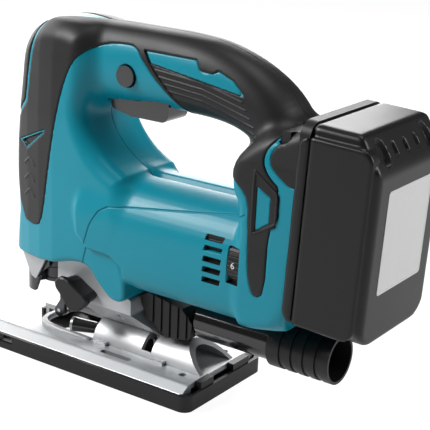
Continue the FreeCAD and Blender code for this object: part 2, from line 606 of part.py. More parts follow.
def bevel_arch():
    reach = ARCH_REAR_X - ARCH_FRONT_X
    body = tube(ARCH_RADIUS, ARCH_RADIUS - ARCH_WALL, reach + 18, (ARCH_FRONT_X, 0, BEVEL_Z), X_AXIS)
    scoop = [(-70, PLATE_TOP + 0.1), (20.0, PLATE_TOP + 0.1), (ARCH_REAR_X, 27.5), (-70, 27.5)]
    body = body.common(prism_y(scoop, -40, 40))
    body = body.cut(box(CLAMP_BOLT_X - 3.6, CLAMP_BOLT_X + 3.6, -15.2, 15.2, 14.5, 40))
    body = body.cut(box(-8.0, 1.0, -1.6, 1.6, 20, 40))
    for x in (-52.0, -9.0):
        for y0, y1 in ((-19.5, -15.5), (15.5, 19.5)):
            body = body.fuse(box(x - 4, x + 4, y0, y1, PLATE_TOP + 0.1, PLATE_TOP + 2.0))
    return body.removeSplitter()


keep("cover_plate", cover_plate())
keep("base_plate", base_plate())
keep("bevel_arch", bevel_arch())

LEVER_X, LEVER_Z = -50.0, 16.6
KNOB_START = V(LEVER_X - 12.4, -9.8, 18.2)
KNOB_LENGTH = 14.6
knob_way = V(-15.0, -4.2, 0).normalize()
keep("lever_pin", rod(LEVER_PIN_RADIUS, 8.6, (LEVER_X, 0, 14.6), Z_AXIS))
ring = tube(6.0, LEVER_PIN_RADIUS + SHAFT_GAP, 3.4, (LEVER_X, 0, LEVER_Z - 1.6), Z_AXIS)
arm = prism_z([(-53, 4), (-63, -5), (-66, -12), (-58.5, -9.6), (-50, -5)], LEVER_Z - 1.6, LEVER_Z + 1.8, radius=0.8)
hub = ring.fuse(arm).cut(rod(LEVER_PIN_RADIUS + SHAFT_GAP, 9, (LEVER_X, 0, 13.0), Z_AXIS)).removeSplitter()
knob = Part.makeCone(3.6, 4.5, KNOB_LENGTH, KNOB_START, knob_way)
keep("clamp_lever", hub.cut(knob))
keep("clamp_knob", knob)
keep("knob_cap", Part.makeCylinder(4.5, 1.6, KNOB_START + knob_way * KNOB_LENGTH, knob_way))

bolt = rod(3.0, 12.0, (CLAMP_BOLT_X, 0, 19.0), Z_AXIS).fuse(rod(5.0, 3.0, (CLAMP_BOLT_X, 0, 17.0), Z_AXIS))
keep("clamp_bolt", bolt.removeSplitter())


# ---------------------------------------------------------------- dust way
def dust_elbow():
    side = [(-27.5, 49.0, 2), (-21.0, 52.8, 2), (3.0, 48.5, 2), (10.4, 41.0, 2), (9.0, 31.0, 3), (-8.0, 28.0, 3),
            (-24.0, 39.0, 3)]
    body = prism_y(side, -12.5, 12.5)
    for k in range(5):
        rib = box(-18.0 + 6 * k, -16.4 + 6 * k, -20, 20, 20, 60)
        ring = rib.cut(prism_y(side, -11.5, 11.5))
        body = body.cut(ring)
    body = body.cut(OUTER_CLEAR)
    return body.cut(rod(7.5, 30, (-16, 0, DUCT_Z - 1.5), X_AXIS)).cut(rod(6.0, 20, (-9, 0, 20), Z_AXIS))


OUTER_CLEAR = rod(BODY_RADIUS + FACE_GAP, 100, (BODY_FRONT_X, 0, BODY_AXIS_Z), X_AXIS)
keep("dust_elbow", dust_elbow())
duct_end = NOZZLE_X0 + 8
keep("dust_duct", tube(DUCT_RADIUS, DUCT_RADIUS - DUCT_WALL, duct_end - 10.7, (10.7, 0, DUCT_Z), X_AXIS))
socket = DUCT_RADIUS + FACE_GAP
nozzle = rod(NOZZLE_RADIUS, NOZZLE_X1 - NOZZLE_X0, (NOZZLE_X0, 0, DUCT_Z), X_AXIS)
nozzle = nozzle.cut(rod(socket, NOZZLE_X1, (NOZZLE_X0 - 1, 0, DUCT_Z), X_AXIS))
nozzle = nozzle.cut(rod(NOZZLE_BORE, NOZZLE_X1, (duct_end + 0.5, 0, DUCT_Z), X_AXIS))
for k in range(4):
    nozzle = nozzle.cut(tube(NOZZLE_RADIUS + 1, NOZZLE_RADIUS - 0.8, 3.6,
                             (NOZZLE_X0 + 8 + 7.5 * k, 0, DUCT_Z), X_AXIS))
keep("dust_nozzle", nozzle)


# ---------------------------------------------------------------- controls and electrics
def trigger(grow, z1):
    x0, x1 = TRIGGER_X0 - grow, TRIGGER_X1 + grow
    half = TRIGGER_HALF + grow
    side = [(x0, TRIGGER_Z0 + 3, 4), (x0 + 14, TRIGGER_Z0 - grow, 8), (x1, TRIGGER_Z0 - grow, 5), (x1, z1), (x0, z1)]
    return prism_y(side, -half, half)


flange = box(TRIGGER_X0 - 2, TRIGGER_X1 + 2, -TRIGGER_HALF - 2, TRIGGER_HALF + 2, TRIGGER_Z1 - 2.4, TRIGGER_Z1)
keep("trigger", trigger(0.0, TRIGGER_Z1).fuse(flange).removeSplitter())

SWITCH_Z0 = LOCK_Z + LOCK_RADIUS + 1.0
keep("switch_body", box(-56.0, -16.0, -9.0, 9.0, SWITCH_Z0, SWITCH_Z0 + 10.0))

lock = rod(4.0, 2 * HANDLE_HALF - 4, (LOCK_X, -HANDLE_HALF + 2, LOCK_Z), Y_AXIS)
for y0 in (-HANDLE_HALF - 1.5, HANDLE_HALF - 4.0):
    lock = lock.fuse(rod(LOCK_RADIUS, 5.5, (LOCK_X, y0, LOCK_Z), Y_AXIS))
keep("lock_button", lock.removeSplitter())

dial_y = -REAR_HALF - 0.6 + DIAL_RADIUS
dial = rod(DIAL_RADIUS, DIAL_WIDTH, (DIAL_X - DIAL_WIDTH / 2, dial_y, DIAL_Z), X_AXIS)
for k in range(40):
    groove = rod(0.5, DIAL_WIDTH + 2, (DIAL_X - DIAL_WIDTH / 2 - 1, dial_y - DIAL_RADIUS, DIAL_Z), X_AXIS)
    groove.rotate(V(0, dial_y, DIAL_Z), X_AXIS, 9 * k)
    dial = dial.cut(groove)
dial = dial.cut(rod(2.5 + SHAFT_GAP, 20, (DIAL_X - 10, dial_y, DIAL_Z), X_AXIS))
keep("speed_dial", dial)
keep("dial_axle", rod(2.5, 14.0, (DIAL_X - 9.0, dial_y, DIAL_Z), X_AXIS))

keep("controller", box(34.0, 41.0, -24.0, 24.0, 66.0, 104.0))
keep("led_lamps", *both_sides(rod(2.0, 6.0, (-116.0, -10.0, 55.8), Z_AXIS)))


# ---------------------------------------------------------------- battery
def pack_box(x0, x1, y0, y1, z0, z1):
    """A box placed from the seam plane, leaning with the battery."""
    return tilted(box(SEAM_X + x0, SEAM_X + x1, y0, y1, z0, z1))


def battery_block():
    half = PACK_HALF
    plan = [
        (SEAM_X, -half, 2), (SEAM_X + PACK_DEPTH - 3, -half, 4), (SEAM_X + PACK_DEPTH, -half + 5, 5),
        (SEAM_X + PACK_DEPTH, half - 5, 5), (SEAM_X + PACK_DEPTH - 3, half, 4), (SEAM_X, half, 2),
    ]
    face = [(-half, PACK_BOTTOM, 18), (half, PACK_BOTTOM, 18), (half, PACK_TOP, 8), (-half, PACK_TOP, 8)]
    side = [
        (SEAM_X, PACK_BOTTOM, 3), (SEAM_X + PACK_DEPTH, PACK_BOTTOM, 6), (SEAM_X + PACK_DEPTH, 160.0, 8),
        (SEAM_X + 26.0, PACK_TOP, 6), (SEAM_X, PACK_TOP, 2),
    ]
    whole = prism_z(plan, 60, 190).common(prism_x(face, SEAM_X - 20, SEAM_X + 60)).common(prism_y(side, -50, 50))
    return whole


def lower_case():
    block = battery_block()
    hollow = box(SEAM_X - 1, SEAM_X + PACK_DEPTH - PACK_WALL, -34.8, 34.8, PACK_BOTTOM + 6, 168.0)
    slope = prism_y([(SEAM_X - 1, 50), (SEAM_X + PACK_DEPTH - PACK_WALL, 50), (SEAM_X + PACK_DEPTH - PACK_WALL, 158),
                     (SEAM_X + 27.0, 168.0), (SEAM_X - 1, 168.0)], -50, 50)
    corner = prism_x([(-34.8, PACK_BOTTOM + 6, 14), (34.8, PACK_BOTTOM + 6, 14), (34.8, 168.0, 4),
                      (-34.8, 168.0, 4)], SEAM_X - 2, SEAM_X + 60)
    return tilted(block.cut(hollow.common(slope).common(corner)))


def upper_case():
    half = PACK_HALF - 0.4
    face = [(-half, PACK_BOTTOM, 18), (half, PACK_BOTTOM, 18), (half, PACK_TOP, 8), (-half, PACK_TOP, 8)]
    shoulder = prism_x(face, SEAM_X - SHOULDER, SEAM_X - FACE_GAP)
    neck = box(SEAM_X - RAIL_DEPTH, SEAM_X - SHOULDER + 1, -RAIL_HALF, RAIL_HALF, PACK_BOTTOM + 6, 168)
    lip = box(SEAM_X - RAIL_DEPTH, SEAM_X - RAIL_DEPTH + RAIL_LIP_THICK, -RAIL_LIP_HALF, RAIL_LIP_HALF,
              PACK_BOTTOM + 6, 168)
    body = fused([shoulder, neck, lip])
    body = body.cut(box(SEAM_X - 14.0, SEAM_X, -20.5, 20.5, PACK_BOTTOM + 12, 160))
    for y in (-15.0, -5.0, 5.0, 15.0):
        body = body.cut(box(SEAM_X - RAIL_DEPTH - 1, SEAM_X - 11.0, y - 1.2, y + 1.2, 0, 104.0))
    body = body.cut(box(SEAM_X - RAIL_DEPTH - 1, SEAM_X - 13.0, -11.0, 11.0, 146.6, 190.0))
    return tilted(body)


def battery_button():
    body = box(SEAM_X - RAIL_DEPTH + 0.4, SEAM_X - 13.6, -10.5, 10.5, 150.6, 168.0)
    body = body.cut(box(SEAM_X - RAIL_DEPTH - 1, SEAM_X - RAIL_DEPTH + 3.0, -8.0, 8.0, 156.0, 164.0))
    return tilted(body)


keep("battery_lower_case", lower_case())
keep("battery_upper_case", upper_case())
keep("battery_button", battery_button())
cells = []
for x0 in (PACK_DEPTH - PACK_WALL - 0.3 - CELL_RADIUS, PACK_DEPTH - PACK_WALL - 0.7 - 3 * CELL_RADIUS):
    for row in range(4):
        z = PACK_BOTTOM + 22.5 + (2 * CELL_RADIUS + 0.6) * row
        cells.append(tilted(rod(CELL_RADIUS, CELL_LENGTH, (SEAM_X + x0, -CELL_LENGTH / 2, z), Y_AXIS)))
keep("battery_cells", *cells)
keep("battery_board", pack_box(-3.2, -1.6, -19.8, 19.8, PACK_BOTTOM + 14, 158))


# ---------------------------------------------------------------- housing shells
def rail_pocket():
    """The T-shaped channel that the battery's rails slide down, open at the top."""
    gap = RUN_GAP
    neck = pack_box(-RAIL_DEPTH - gap, -SHOULDER + 2, -RAIL_HALF - gap, RAIL_HALF + gap, PACK_BOTTOM + 5, 260)
    lips = pack_box(-RAIL_DEPTH - gap, -RAIL_DEPTH + RAIL_LIP_THICK + gap, -RAIL_LIP_HALF - gap,
                    RAIL_LIP_HALF + gap, PACK_BOTTOM + 5, 260)
    return neck.fuse(lips)


def pocket_lining():
    half = RAIL_LIP_HALF + RUN_GAP + WALL
    return pack_box(-RAIL_DEPTH - RUN_GAP - WALL, 5, -half, half, PACK_BOTTOM + 5 - WALL, 200)


block = pack_box(-RAIL_DEPTH - RUN_GAP - WALL - 3.0, -RAIL_DEPTH - RUN_GAP - WALL, -20, 20, 74, 110)
keep("terminal_block", block)
blades = []
for y in (-15.0, -5.0, 5.0, 15.0):
    blades.append(pack_box(-RAIL_DEPTH - RUN_GAP - WALL, -RAIL_DEPTH + 8.0, y - 0.5, y + 0.5, 80.0, 100.0))
keep("terminal_blades", *blades)

SCREWS = [
    (-110.0, 178.0), (-84.0, 190.0), (12.0, 178.0), (52.0, 162.0), (-34.0, 57.0), (32.0, 60.5),
]
SCREW_HEAD_Y = 9.0


def clear_of_gears():
    """What is taken out of the shells for the gear housing and the foot."""
    opening = gear_block(FACE_GAP)
    side = [(-85.0, 40.0), (-85.0, 72.0), (-62.5, 72.0), (-62.5, 62.0), (-62.3, 40.0)]
    return opening.fuse(prism_y(side, -FOOT_HALF - FACE_GAP, FOOT_HALF + FACE_GAP))


def ribs():
    """Plates across the cavity that hold the stator and the rear bearing."""
    plates = []
    for x0 in (STATOR_X0 + 1, STATOR_X1 - 4):
        plate = box(x0, x0 + 3, -40, 40, 50, 125)
        plates.append(plate.cut(rod(STATOR_RADIUS + 0.1, 60, (x0 - 5, 0, BODY_AXIS_Z), X_AXIS)))
    plate = box(REAR_BEARING_X, REAR_BEARING_X + BEARING_WIDTH, -40, 40, 50, 125)
    plates.append(plate.cut(rod(BEARING_RADIUS + SHAFT_GAP, 60, (0, 0, BODY_AXIS_Z), X_AXIS)))
    for x0 in (-58.6, -15.7):
        plates.append(box(x0, x0 + 2.3, -20, 20, SWITCH_Z0 - 1, 204))
    plates.append(box(GH_REAR_X - 1, -60.3, -30, 30, 139, 142))
    return plates


def shells():
    wall = OUTER.cut(INNER)
    inside = fused(ribs()).common(INNER)
    lining = pocket_lining().common(OUTER)
    bosses = []
    for x, z in SCREWS:
        bosses.append(rod(4.6, 60, (x, -30, z), Y_AXIS).common(INNER))
    ears = [opener_ear(y0) for y0 in (-7.0, 4.4)]
    whole = wall.fuse([inside, lining] + bosses + ears)
    cuts = [
        rail_pocket(), clear_of_gears(), trigger(RUN_GAP, TRIGGER_Z1),
        box(TRIGGER_X0 - 2.4, TRIGGER_X1 + 2.4, -TRIGGER_HALF - 2.4, TRIGGER_HALF + 2.4, TRIGGER_Z1 - 2.8, 176),
        rod(LOCK_RADIUS + RUN_GAP, 80, (LOCK_X, -40, LOCK_Z), Y_AXIS),
        box(DIAL_X - DIAL_WIDTH / 2 - 0.5, DIAL_X + DIAL_WIDTH / 2 + 0.5, -40, -10, DIAL_Z - 11, DIAL_Z + 11),
    ]
    cuts.append(pack_box(-RAIL_DEPTH - RUN_GAP - WALL - 1, -RAIL_DEPTH, -18, 18, 78, 102))
    cuts.append(rod(DUCT_RADIUS + DUCT_ROOM, 200, (0, 0, DUCT_Z), X_AXIS))
    for k in range(5):
        z0 = 79.0 + 5.8 * k
        for y0 in (-40.0, 28.0):
            cuts.append(box(30.0, 42.0, y0, y0 + 12, z0, z0 + 3.0))
    for x, z in SCREWS:
        cuts.append(rod(1.8, 60, (x, -SCREW_HEAD_Y - 3, z), Y_AXIS))
        cuts.append(rod(3.6, 40, (x, SCREW_HEAD_Y, z), Y_AXIS))
    for y in (-10.0, 10.0):
        cuts.append(rod(2.1, 14, (-116.0, y, 50), Z_AXIS))
    for cut in cuts:
        whole = whole.cut(cut)
    return whole


def main_solid(shape):
    return max(shape.Solids, key=lambda solid: solid.Volume)


SHELL = shells()
keep("left_housing", main_solid(SHELL.common(box(-300, 300, -100, 0, -50, 300))))
keep("right_housing", main_solid(SHELL.common(box(-300, 300, 0, 100, -50, 300))))
screws = []
for x, z in SCREWS:
    screw = rod(1.75, 20.0, (x, SCREW_HEAD_Y - 20, z), Y_AXIS)
    head = rod(3.3, 2.6, (x, SCREW_HEAD_Y, z), Y_AXIS)
    head = head.cut(prism_y([(x - 0.5, z - 1.9), (x + 0.5, z - 1.9), (x + 0.5, z + 1.9), (x - 0.5, z + 1.9)],
                            SCREW_HEAD_Y + 1.2, SCREW_HEAD_Y + 3))
    screws.append(screw.fuse(head).removeSplitter())
keep("housing_screws", *screws)


def grips():
    """The soft covering of the handle and the nose, one piece on each side."""
    skin = GROWN.cut(OUTER)
    handle_zone = prism_y([(-100, 199), (-64, 190), (-30, 197), (-22, 186), (0, 160), (20, 150), (40, 150),
                           (42, 120), (52, 112), (52, 135), (62, 150), (86, 172), (60, 215), (-100, 215)], -60, 60)
    nose_zone = prism_y([(-135, 75), (-112, 75), (-107, 150), (-96, 190), (-96, 215), (-135, 215)], -60, 60)
    cover = skin.common(handle_zone.fuse(nose_zone))
    cover = cover.cut(trigger(RUN_GAP + 1, TRIGGER_Z1)).cut(tilted(box(SEAM_X - SHOULDER - 2, 300, -60, 60, 0, 300)))
    return cover.cut(rod(LOCK_RADIUS + 3, 80, (LOCK_X, -40, LOCK_Z), Y_AXIS)).cut(rail_pocket())


GRIP = grips()
keep("left_grip", main_solid(GRIP.common(box(-300, 300, -100, 0, -50, 300))))
keep("right_grip", main_solid(GRIP.common(box(-300, 300, 0, 100, -50, 300))))


# ---------------------------------------------------------------- write the parts
os.makedirs("parts", exist_ok=True)
for name, solids in NODES.items():
    shape = solids[0] if len(solids) == 1 else Part.makeCompound(solids)
    if not shape.isValid():
        print("invalid", name)
    if len(solids) == 1 and len(shape.Solids) != 1:
        print("solids", name, len(shape.Solids))
    shape.exportStep(os.path.join("parts", name + ".step"))
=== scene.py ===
"""The finish and look of a cordless jigsaw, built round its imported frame."""

import json
import math

import bpy
import numpy as np
from bpy.props import FloatProperty, FloatVectorProperty
from mathutils import Matrix, Vector


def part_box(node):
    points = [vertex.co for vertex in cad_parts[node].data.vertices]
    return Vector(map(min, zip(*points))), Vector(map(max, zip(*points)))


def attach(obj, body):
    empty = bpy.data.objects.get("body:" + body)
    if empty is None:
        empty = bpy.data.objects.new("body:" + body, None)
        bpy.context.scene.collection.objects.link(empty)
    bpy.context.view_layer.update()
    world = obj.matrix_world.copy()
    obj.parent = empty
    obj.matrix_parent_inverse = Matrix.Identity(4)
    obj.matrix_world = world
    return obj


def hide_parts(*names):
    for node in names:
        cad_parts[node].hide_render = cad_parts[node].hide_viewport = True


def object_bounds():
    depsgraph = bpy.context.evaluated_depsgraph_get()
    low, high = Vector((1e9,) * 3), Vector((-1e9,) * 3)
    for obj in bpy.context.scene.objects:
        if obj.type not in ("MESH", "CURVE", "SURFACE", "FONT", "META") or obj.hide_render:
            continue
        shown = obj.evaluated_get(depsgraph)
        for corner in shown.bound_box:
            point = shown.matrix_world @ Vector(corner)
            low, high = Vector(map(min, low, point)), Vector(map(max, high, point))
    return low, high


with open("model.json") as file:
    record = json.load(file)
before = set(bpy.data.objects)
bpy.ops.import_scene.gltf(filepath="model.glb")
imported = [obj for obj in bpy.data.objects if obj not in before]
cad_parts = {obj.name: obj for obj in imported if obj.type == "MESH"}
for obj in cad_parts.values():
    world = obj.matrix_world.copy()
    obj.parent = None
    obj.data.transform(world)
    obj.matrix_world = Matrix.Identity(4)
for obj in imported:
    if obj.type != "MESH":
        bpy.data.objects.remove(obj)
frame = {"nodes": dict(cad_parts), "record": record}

bl_info = {
    "name": "Cordless jigsaw finish",
    "version": (1, 0, 0),
    "blender": (4, 5, 0),
    "location": "3D View > Sidebar > Jigsaw",
    "description": "Housing shells, soft grips, battery case, finishes and studio for a cordless jigsaw",
    "category": "Object",
}

MM = 0.001
NODES = frame["nodes"]
CAD_LOW, CAD_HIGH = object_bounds()


def node_box(name):
    """A CAD node's lowest and highest corners, in millimetres."""
    low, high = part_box(name)
    return np.array(low) / MM, np.array(high) / MM


def colour_property(name, description, default):
    return FloatVectorProperty(name=name, description=description, subtype="COLOR", size=3, min=0.0, max=1.0,
                               default=default)


def length_property(name, description, millimetres):
    return FloatProperty(name=name, description=description, unit="LENGTH", min=0.0, default=millimetres * MM)


class JigsawLook(bpy.types.PropertyGroup):
    """Sizes and colours of the finish."""

    teal: colour_property("Housing", "Colour of the hard shells", (0.0, 0.255, 0.345))
    rubber: colour_property("Rubber", "Colour of the soft covering", (0.010, 0.010, 0.0103))
    plastic: colour_property("Black plastic", "Colour of the small mouldings", (0.009, 0.009, 0.0093))
    battery: colour_property("Battery", "Colour of the battery's case", (0.006, 0.006, 0.0062))
    label: colour_property("Label plate", "Colour of the bare plate on the battery", (0.62, 0.62, 0.62))
    alloy: colour_property("Alloy", "Colour of cast and sheet metal", (0.52, 0.53, 0.54))
    net_step: length_property("Mesh step", "Grid spacing of the moulded skins", 1.3)
    soft_rise: length_property("Rubber rise", "How far the soft covering stands proud", 0.5)
    seam_depth: length_property("Seam depth", "Depth of the grooves between mouldings", 0.5)
    corner: length_property("Case corner", "Radius of the battery's lower corners", 15.0)
    key_power: FloatProperty(name="Key light", description="Power of the main light", unit="POWER", default=15.0)


def look():
    return bpy.context.scene.jigsaw_look


# ---------------------------------------------------------------- shader helper
class Socket:
    """A shader value. Python expressions on it add Math nodes."""

    def __init__(self, graph, out):
        self.graph = graph
        self.out = out

    def math(self, operation, *values):
        return self.graph.add("ShaderNodeMath", {"operation": operation}, dict(enumerate(values)))

    def __add__(self, other):
        return self.math("ADD", self, other)

    __radd__ = __add__

    def __sub__(self, other):
        return self.math("SUBTRACT", self, other)

    def __rsub__(self, other):
        return self.math("SUBTRACT", other, self)

    def __mul__(self, other):
        return self.math("MULTIPLY", self, other)

    __rmul__ = __mul__

    def ramp(self, low, high):
        """0 at low and 1 at high, held between."""
        return self.graph.add("ShaderNodeMapRange", {"clamp": True}, {0: self, 1: low, 2: high})


class Graph:
    """A node tree that every node is added to through one method."""

    def __init__(self, tree):
        self.tree = tree

    def add(self, kind, settings=None, inputs=None, out=0):
        node = self.tree.nodes.new(kind)
        for key, value in (settings or {}).items():
            setattr(node, key, value)
        for key, value in (inputs or {}).items():
            self.join(value, node.inputs[key])
        return Socket(self, node.outputs[out])

    def join(self, value, socket):
        if isinstance(value, Socket):
            self.tree.links.new(value.out, socket)
        else:
            socket.default_value = value


class Shader(Graph):
    """A material with a Principled surface, built by adding nodes."""

    def __init__(self, name, **constants):
        self.material = bpy.data.materials.new(name + "_finish")
        self.material.use_nodes = True
        super().__init__(self.material.node_tree)
        self.surface = self.tree.nodes["Principled BSDF"]
        for key, value in constants.items():
            self.surface.inputs[key.replace("_", " ")].default_value = value

    def set(self, name, value):
        self.join(value, self.surface.inputs[name])

    def place(self, stretch=(1.0, 1.0, 1.0)):
        """Where on the piece a point is, in metres, stretched along each axis."""
        spot = self.add("ShaderNodeTexCoord", out="Object")
        return self.add("ShaderNodeVectorMath", {"operation": "MULTIPLY"}, {0: spot, 1: stretch})

    def noise(self, scale, detail=3.0, stretch=(1.0, 1.0, 1.0), roughness=0.55):
        inputs = {"Vector": self.place(stretch), "Scale": scale, "Detail": detail, "Roughness": roughness}
        return self.add("ShaderNodeTexNoise", {}, inputs)

    def cells(self, scale):
        return self.add("ShaderNodeTexVoronoi", {}, {"Vector": self.place(), "Scale": scale}, out="Distance")

    def mix(self, factor, first, second):
        return self.add("ShaderNodeMix", {"data_type": "RGBA"}, {0: factor, 6: first, 7: second}, out=2)

    def bump(self, height, distance, strength=0.5):
        inputs = {"Height": height, "Distance": distance, "Strength": strength}
        self.set("Normal", self.add("ShaderNodeBump", {}, inputs))

    def edge_wear(self, low=0.52, high=0.60):
        """Near 1 on sharp outer edges, which the finishes paint paler: part wear, part painted highlight."""
        return self.add("ShaderNodeNewGeometry", out="Pointiness").ramp(low, high)


def rgba(colour, gain=1.0):
    return (colour[0] * gain, colour[1] * gain, colour[2] * gain, 1.0)


# ---------------------------------------------------------------- finishes
def moulded_plastic(name, colour, roughness, grain=1600.0, depth=0.00004, coat=0.0):
    """Spark-eroded plastic: a fine even grain, slightly uneven gloss and paler edges, part wear and part painted
    highlight.
    """
    shader = Shader(name, Specular_IOR_Level=0.36)
    broad = shader.noise(28.0, 4.0)
    fine = shader.noise(grain, 2.0)
    body = shader.mix(broad, rgba(colour, 0.94), rgba(colour, 1.06))
    # Sharp edges painted paler: part wear, part painted highlight.
    shader.set("Base Color", shader.mix(shader.edge_wear() * 0.3, body, rgba(colour, 1.5)))
    shader.set("Roughness", broad * 0.08 + fine * 0.06 + (roughness - 0.07))
    shader.surface.inputs["Coat Weight"].default_value = coat
    shader.surface.inputs["Coat Roughness"].default_value = 0.12
    shader.bump(fine, depth)


def soft_rubber(name, colour):
    """Overmoulded elastomer: matt, faintly mottled, with a pebbled skin."""
    shader = Shader(name, Specular_IOR_Level=0.36)
    broad = shader.noise(40.0, 5.0)
    shader.set("Base Color", shader.mix(broad, rgba(colour, 0.85), rgba(colour, 1.2)))
    shader.set("Roughness", broad * 0.12 + 0.40)
    shader.bump(shader.cells(1500.0), 0.00005, 0.55)


def cast_metal(name, colour):
    """Die-cast alloy, tumbled: blotchy sheen over a fine sandy skin."""
    shader = Shader(name, Metallic=0.45)
    blotch = shader.noise(70.0, 6.0, roughness=0.65)
    sand = shader.noise(1900.0, 3.0)
    body = shader.mix(blotch, rgba(colour, 0.84), rgba(colour, 1.05))
    # Sharp edges painted paler: part wear, part painted highlight.
    shader.set("Base Color", shader.mix(shader.edge_wear(0.54, 0.72) * 0.6, body, rgba(colour, 1.1)))
    shader.set("Roughness", blotch * 0.06 + sand * 0.04 + 0.44)
    shader.bump(sand, 0.00002)


def drawn_metal(name, colour, roughness, stretch, depth=0.00002, metallic=1.0):
    """Rolled or ground metal with fine lines along one direction."""
    shader = Shader(name, Metallic=metallic)
    lines = shader.noise(900.0, 4.0, stretch)
    cloud = shader.noise(35.0, 4.0)
    shader.set("Base Color", shader.mix(cloud, rgba(colour, 0.88), rgba(colour, 1.06)))
    shader.set("Roughness", lines * 0.14 + cloud * 0.10 + (roughness - 0.12))
    shader.bump(lines, depth)


def speckled(name, colour, second, scale, roughness, metallic=0.0):
    """A base colour broken by flecks of a second, for boards, wound wire and sintered metal."""
    shader = Shader(name, Metallic=metallic)
    fleck = shader.noise(scale, 4.0).ramp(0.42, 0.62)
    shader.set("Base Color", shader.mix(fleck, rgba(colour), rgba(second)))
    shader.set("Roughness", fleck * 0.2 + roughness)
    shader.bump(fleck, 0.00005, 0.4)


def satin_label(name, colour):
    """Printed film with a faint weave and a soft sheen."""
    shader = Shader(name)
    weave = shader.noise(1200.0, 2.0, (1.0, 1.0, 0.2))
    shader.set("Base Color", shader.mix(weave, rgba(colour, 0.92), rgba(colour, 1.04)))
    shader.set("Roughness", weave * 0.12 + 0.28)
    shader.bump(weave, 0.00001)


def make_finishes():
    mine = look()
    plastic, alloy = mine.plastic, mine.alloy
    moulded_plastic("teal_plastic", mine.teal, 0.36)
    soft_rubber("black_rubber", mine.rubber)
    moulded_plastic("black_plastic", plastic, 0.42)
    moulded_plastic("gloss_black", plastic, 0.17, 900.0, 0.00001, 0.8)
    moulded_plastic("battery_grey", mine.battery, 0.34)
    cast_metal("cast_alloy", alloy)
    drawn_metal("plate_alloy", rgba(alloy, 1.05), 0.44, (0.15, 1.0, 1.0), metallic=0.6)
    drawn_metal("pressed_steel", rgba(alloy, 1.07), 0.46, (0.2, 1.0, 1.0), 0.000004, 0.6)
    drawn_metal("gear_steel", rgba(alloy, 0.87), 0.30, (1.0, 1.0, 0.2))
    drawn_metal("dark_steel", (0.08, 0.08, 0.085), 0.34, (1.0, 1.0, 0.2))
    drawn_metal("zinc_steel", rgba(alloy, 0.97), 0.34, (1.0, 1.0, 1.0))
    speckled("bronze", (0.50, 0.30, 0.11), (0.35, 0.20, 0.07), 1500.0, 0.32, 1.0)
    speckled("copper", (0.60, 0.22, 0.07), (0.40, 0.13, 0.04), 1200.0, 0.30, 1.0)
    speckled("cell_wrap", (0.02, 0.20, 0.16), (0.02, 0.15, 0.12), 200.0, 0.30)
    speckled("board_green", (0.01, 0.10, 0.04), (0.02, 0.16, 0.07), 500.0, 0.35)
    speckled("clear_lens", (0.75, 0.77, 0.80), (0.90, 0.92, 0.95), 300.0, 0.06)
    speckled("number_white", (0.80, 0.80, 0.80), (0.72, 0.72, 0.72), 900.0, 0.30)
    satin_label("label_plate", mine.label)


def dress_nodes():
    """Gives each CAD node the finish of its slot."""
    for part in frame["record"]["subparts"]:
        for slot in NODES[part["node"]].material_slots:
            slot.material = bpy.data.materials[part["material_slot"] + "_finish"]


# ---------------------------------------------------------------- outlines and fields, in millimetres
def rounded(points, rounds=2):
    """A closed outline with its corners cut round."""
    points = np.array(points, float)
    for _ in range(rounds):
        after = np.roll(points, -1, axis=0)
        points = np.stack([points * 0.75 + after * 0.25, points * 0.25 + after * 0.75], 1).reshape(-1, 2)
    return points


def nearest(u, v, starts, ends):
    """Distance to a chain of straight pieces."""
    best = np.full(np.broadcast(u, v).shape, 1e9)
    for (ax, ay), (bx, by) in zip(starts, ends):
        ex, ey = bx - ax, by - ay
        share = np.clip(((u - ax) * ex + (v - ay) * ey) / (ex * ex + ey * ey + 1e-12), 0, 1)
        best = np.minimum(best, (u - ax - share * ex) ** 2 + (v - ay - share * ey) ** 2)
    return np.sqrt(best)


def outline_field(u, v, points):
    """Signed distance to a closed outline, negative inside."""
    ends = np.roll(points, -1, axis=0)
    inside = np.zeros(np.broadcast(u, v).shape, bool)
    for (ax, ay), (bx, by) in zip(points, ends):
        ey = by - ay
        inside ^= ((ay > v) != (by > v)) & (u < ax + (v - ay) * (bx - ax) / (ey if abs(ey) > 1e-9 else 1e-9))
    return np.where(inside, -1.0, 1.0) * nearest(u, v, points, ends)


def path_field(u, v, points):
    return nearest(u, v, points[:-1], points[1:])


def both(a, b, radius):
    """Inside both fields, with the edge between them rounded."""
    corner = np.sqrt(np.maximum(a + radius, 0) ** 2 + np.maximum(b + radius, 0) ** 2) - radius
    return np.where((a > -radius) & (b > -radius), corner, np.maximum(a, b))


def either(a, b, blend):
    """Inside either field, with a fillet where they meet."""
    near = np.maximum(blend - np.abs(a - b), 0) / blend
    return np.minimum(a, b) - near * near * blend / 4


def slab(value, low, high):
    return np.maximum(low - value, value - high)


def block_field(x, y, z, low, high):
    return np.maximum(np.maximum(slab(x, low[0], high[0]), slab(y, low[1], high[1])), slab(z, low[2], high[2]))


def curve_through(points, steps):
    """Catmull-Rom samples through a list of points of any size."""
    points = np.array(points, float)
    padded = np.vstack([2 * points[0] - points[1], points, 2 * points[-1] - points[-2]])
    out = []
    for k in range(1, len(padded) - 2):
        a, b, c, d = padded[k - 1:k + 3]
        for t in np.arange(steps) / steps:
            out.append(0.5 * (2 * b + (c - a) * t + (2 * a - 5 * b + 4 * c - d) * t * t
                              + (3 * b - a - 3 * c + d) * t ** 3))
    out.append(points[-1])
    return np.array(out)


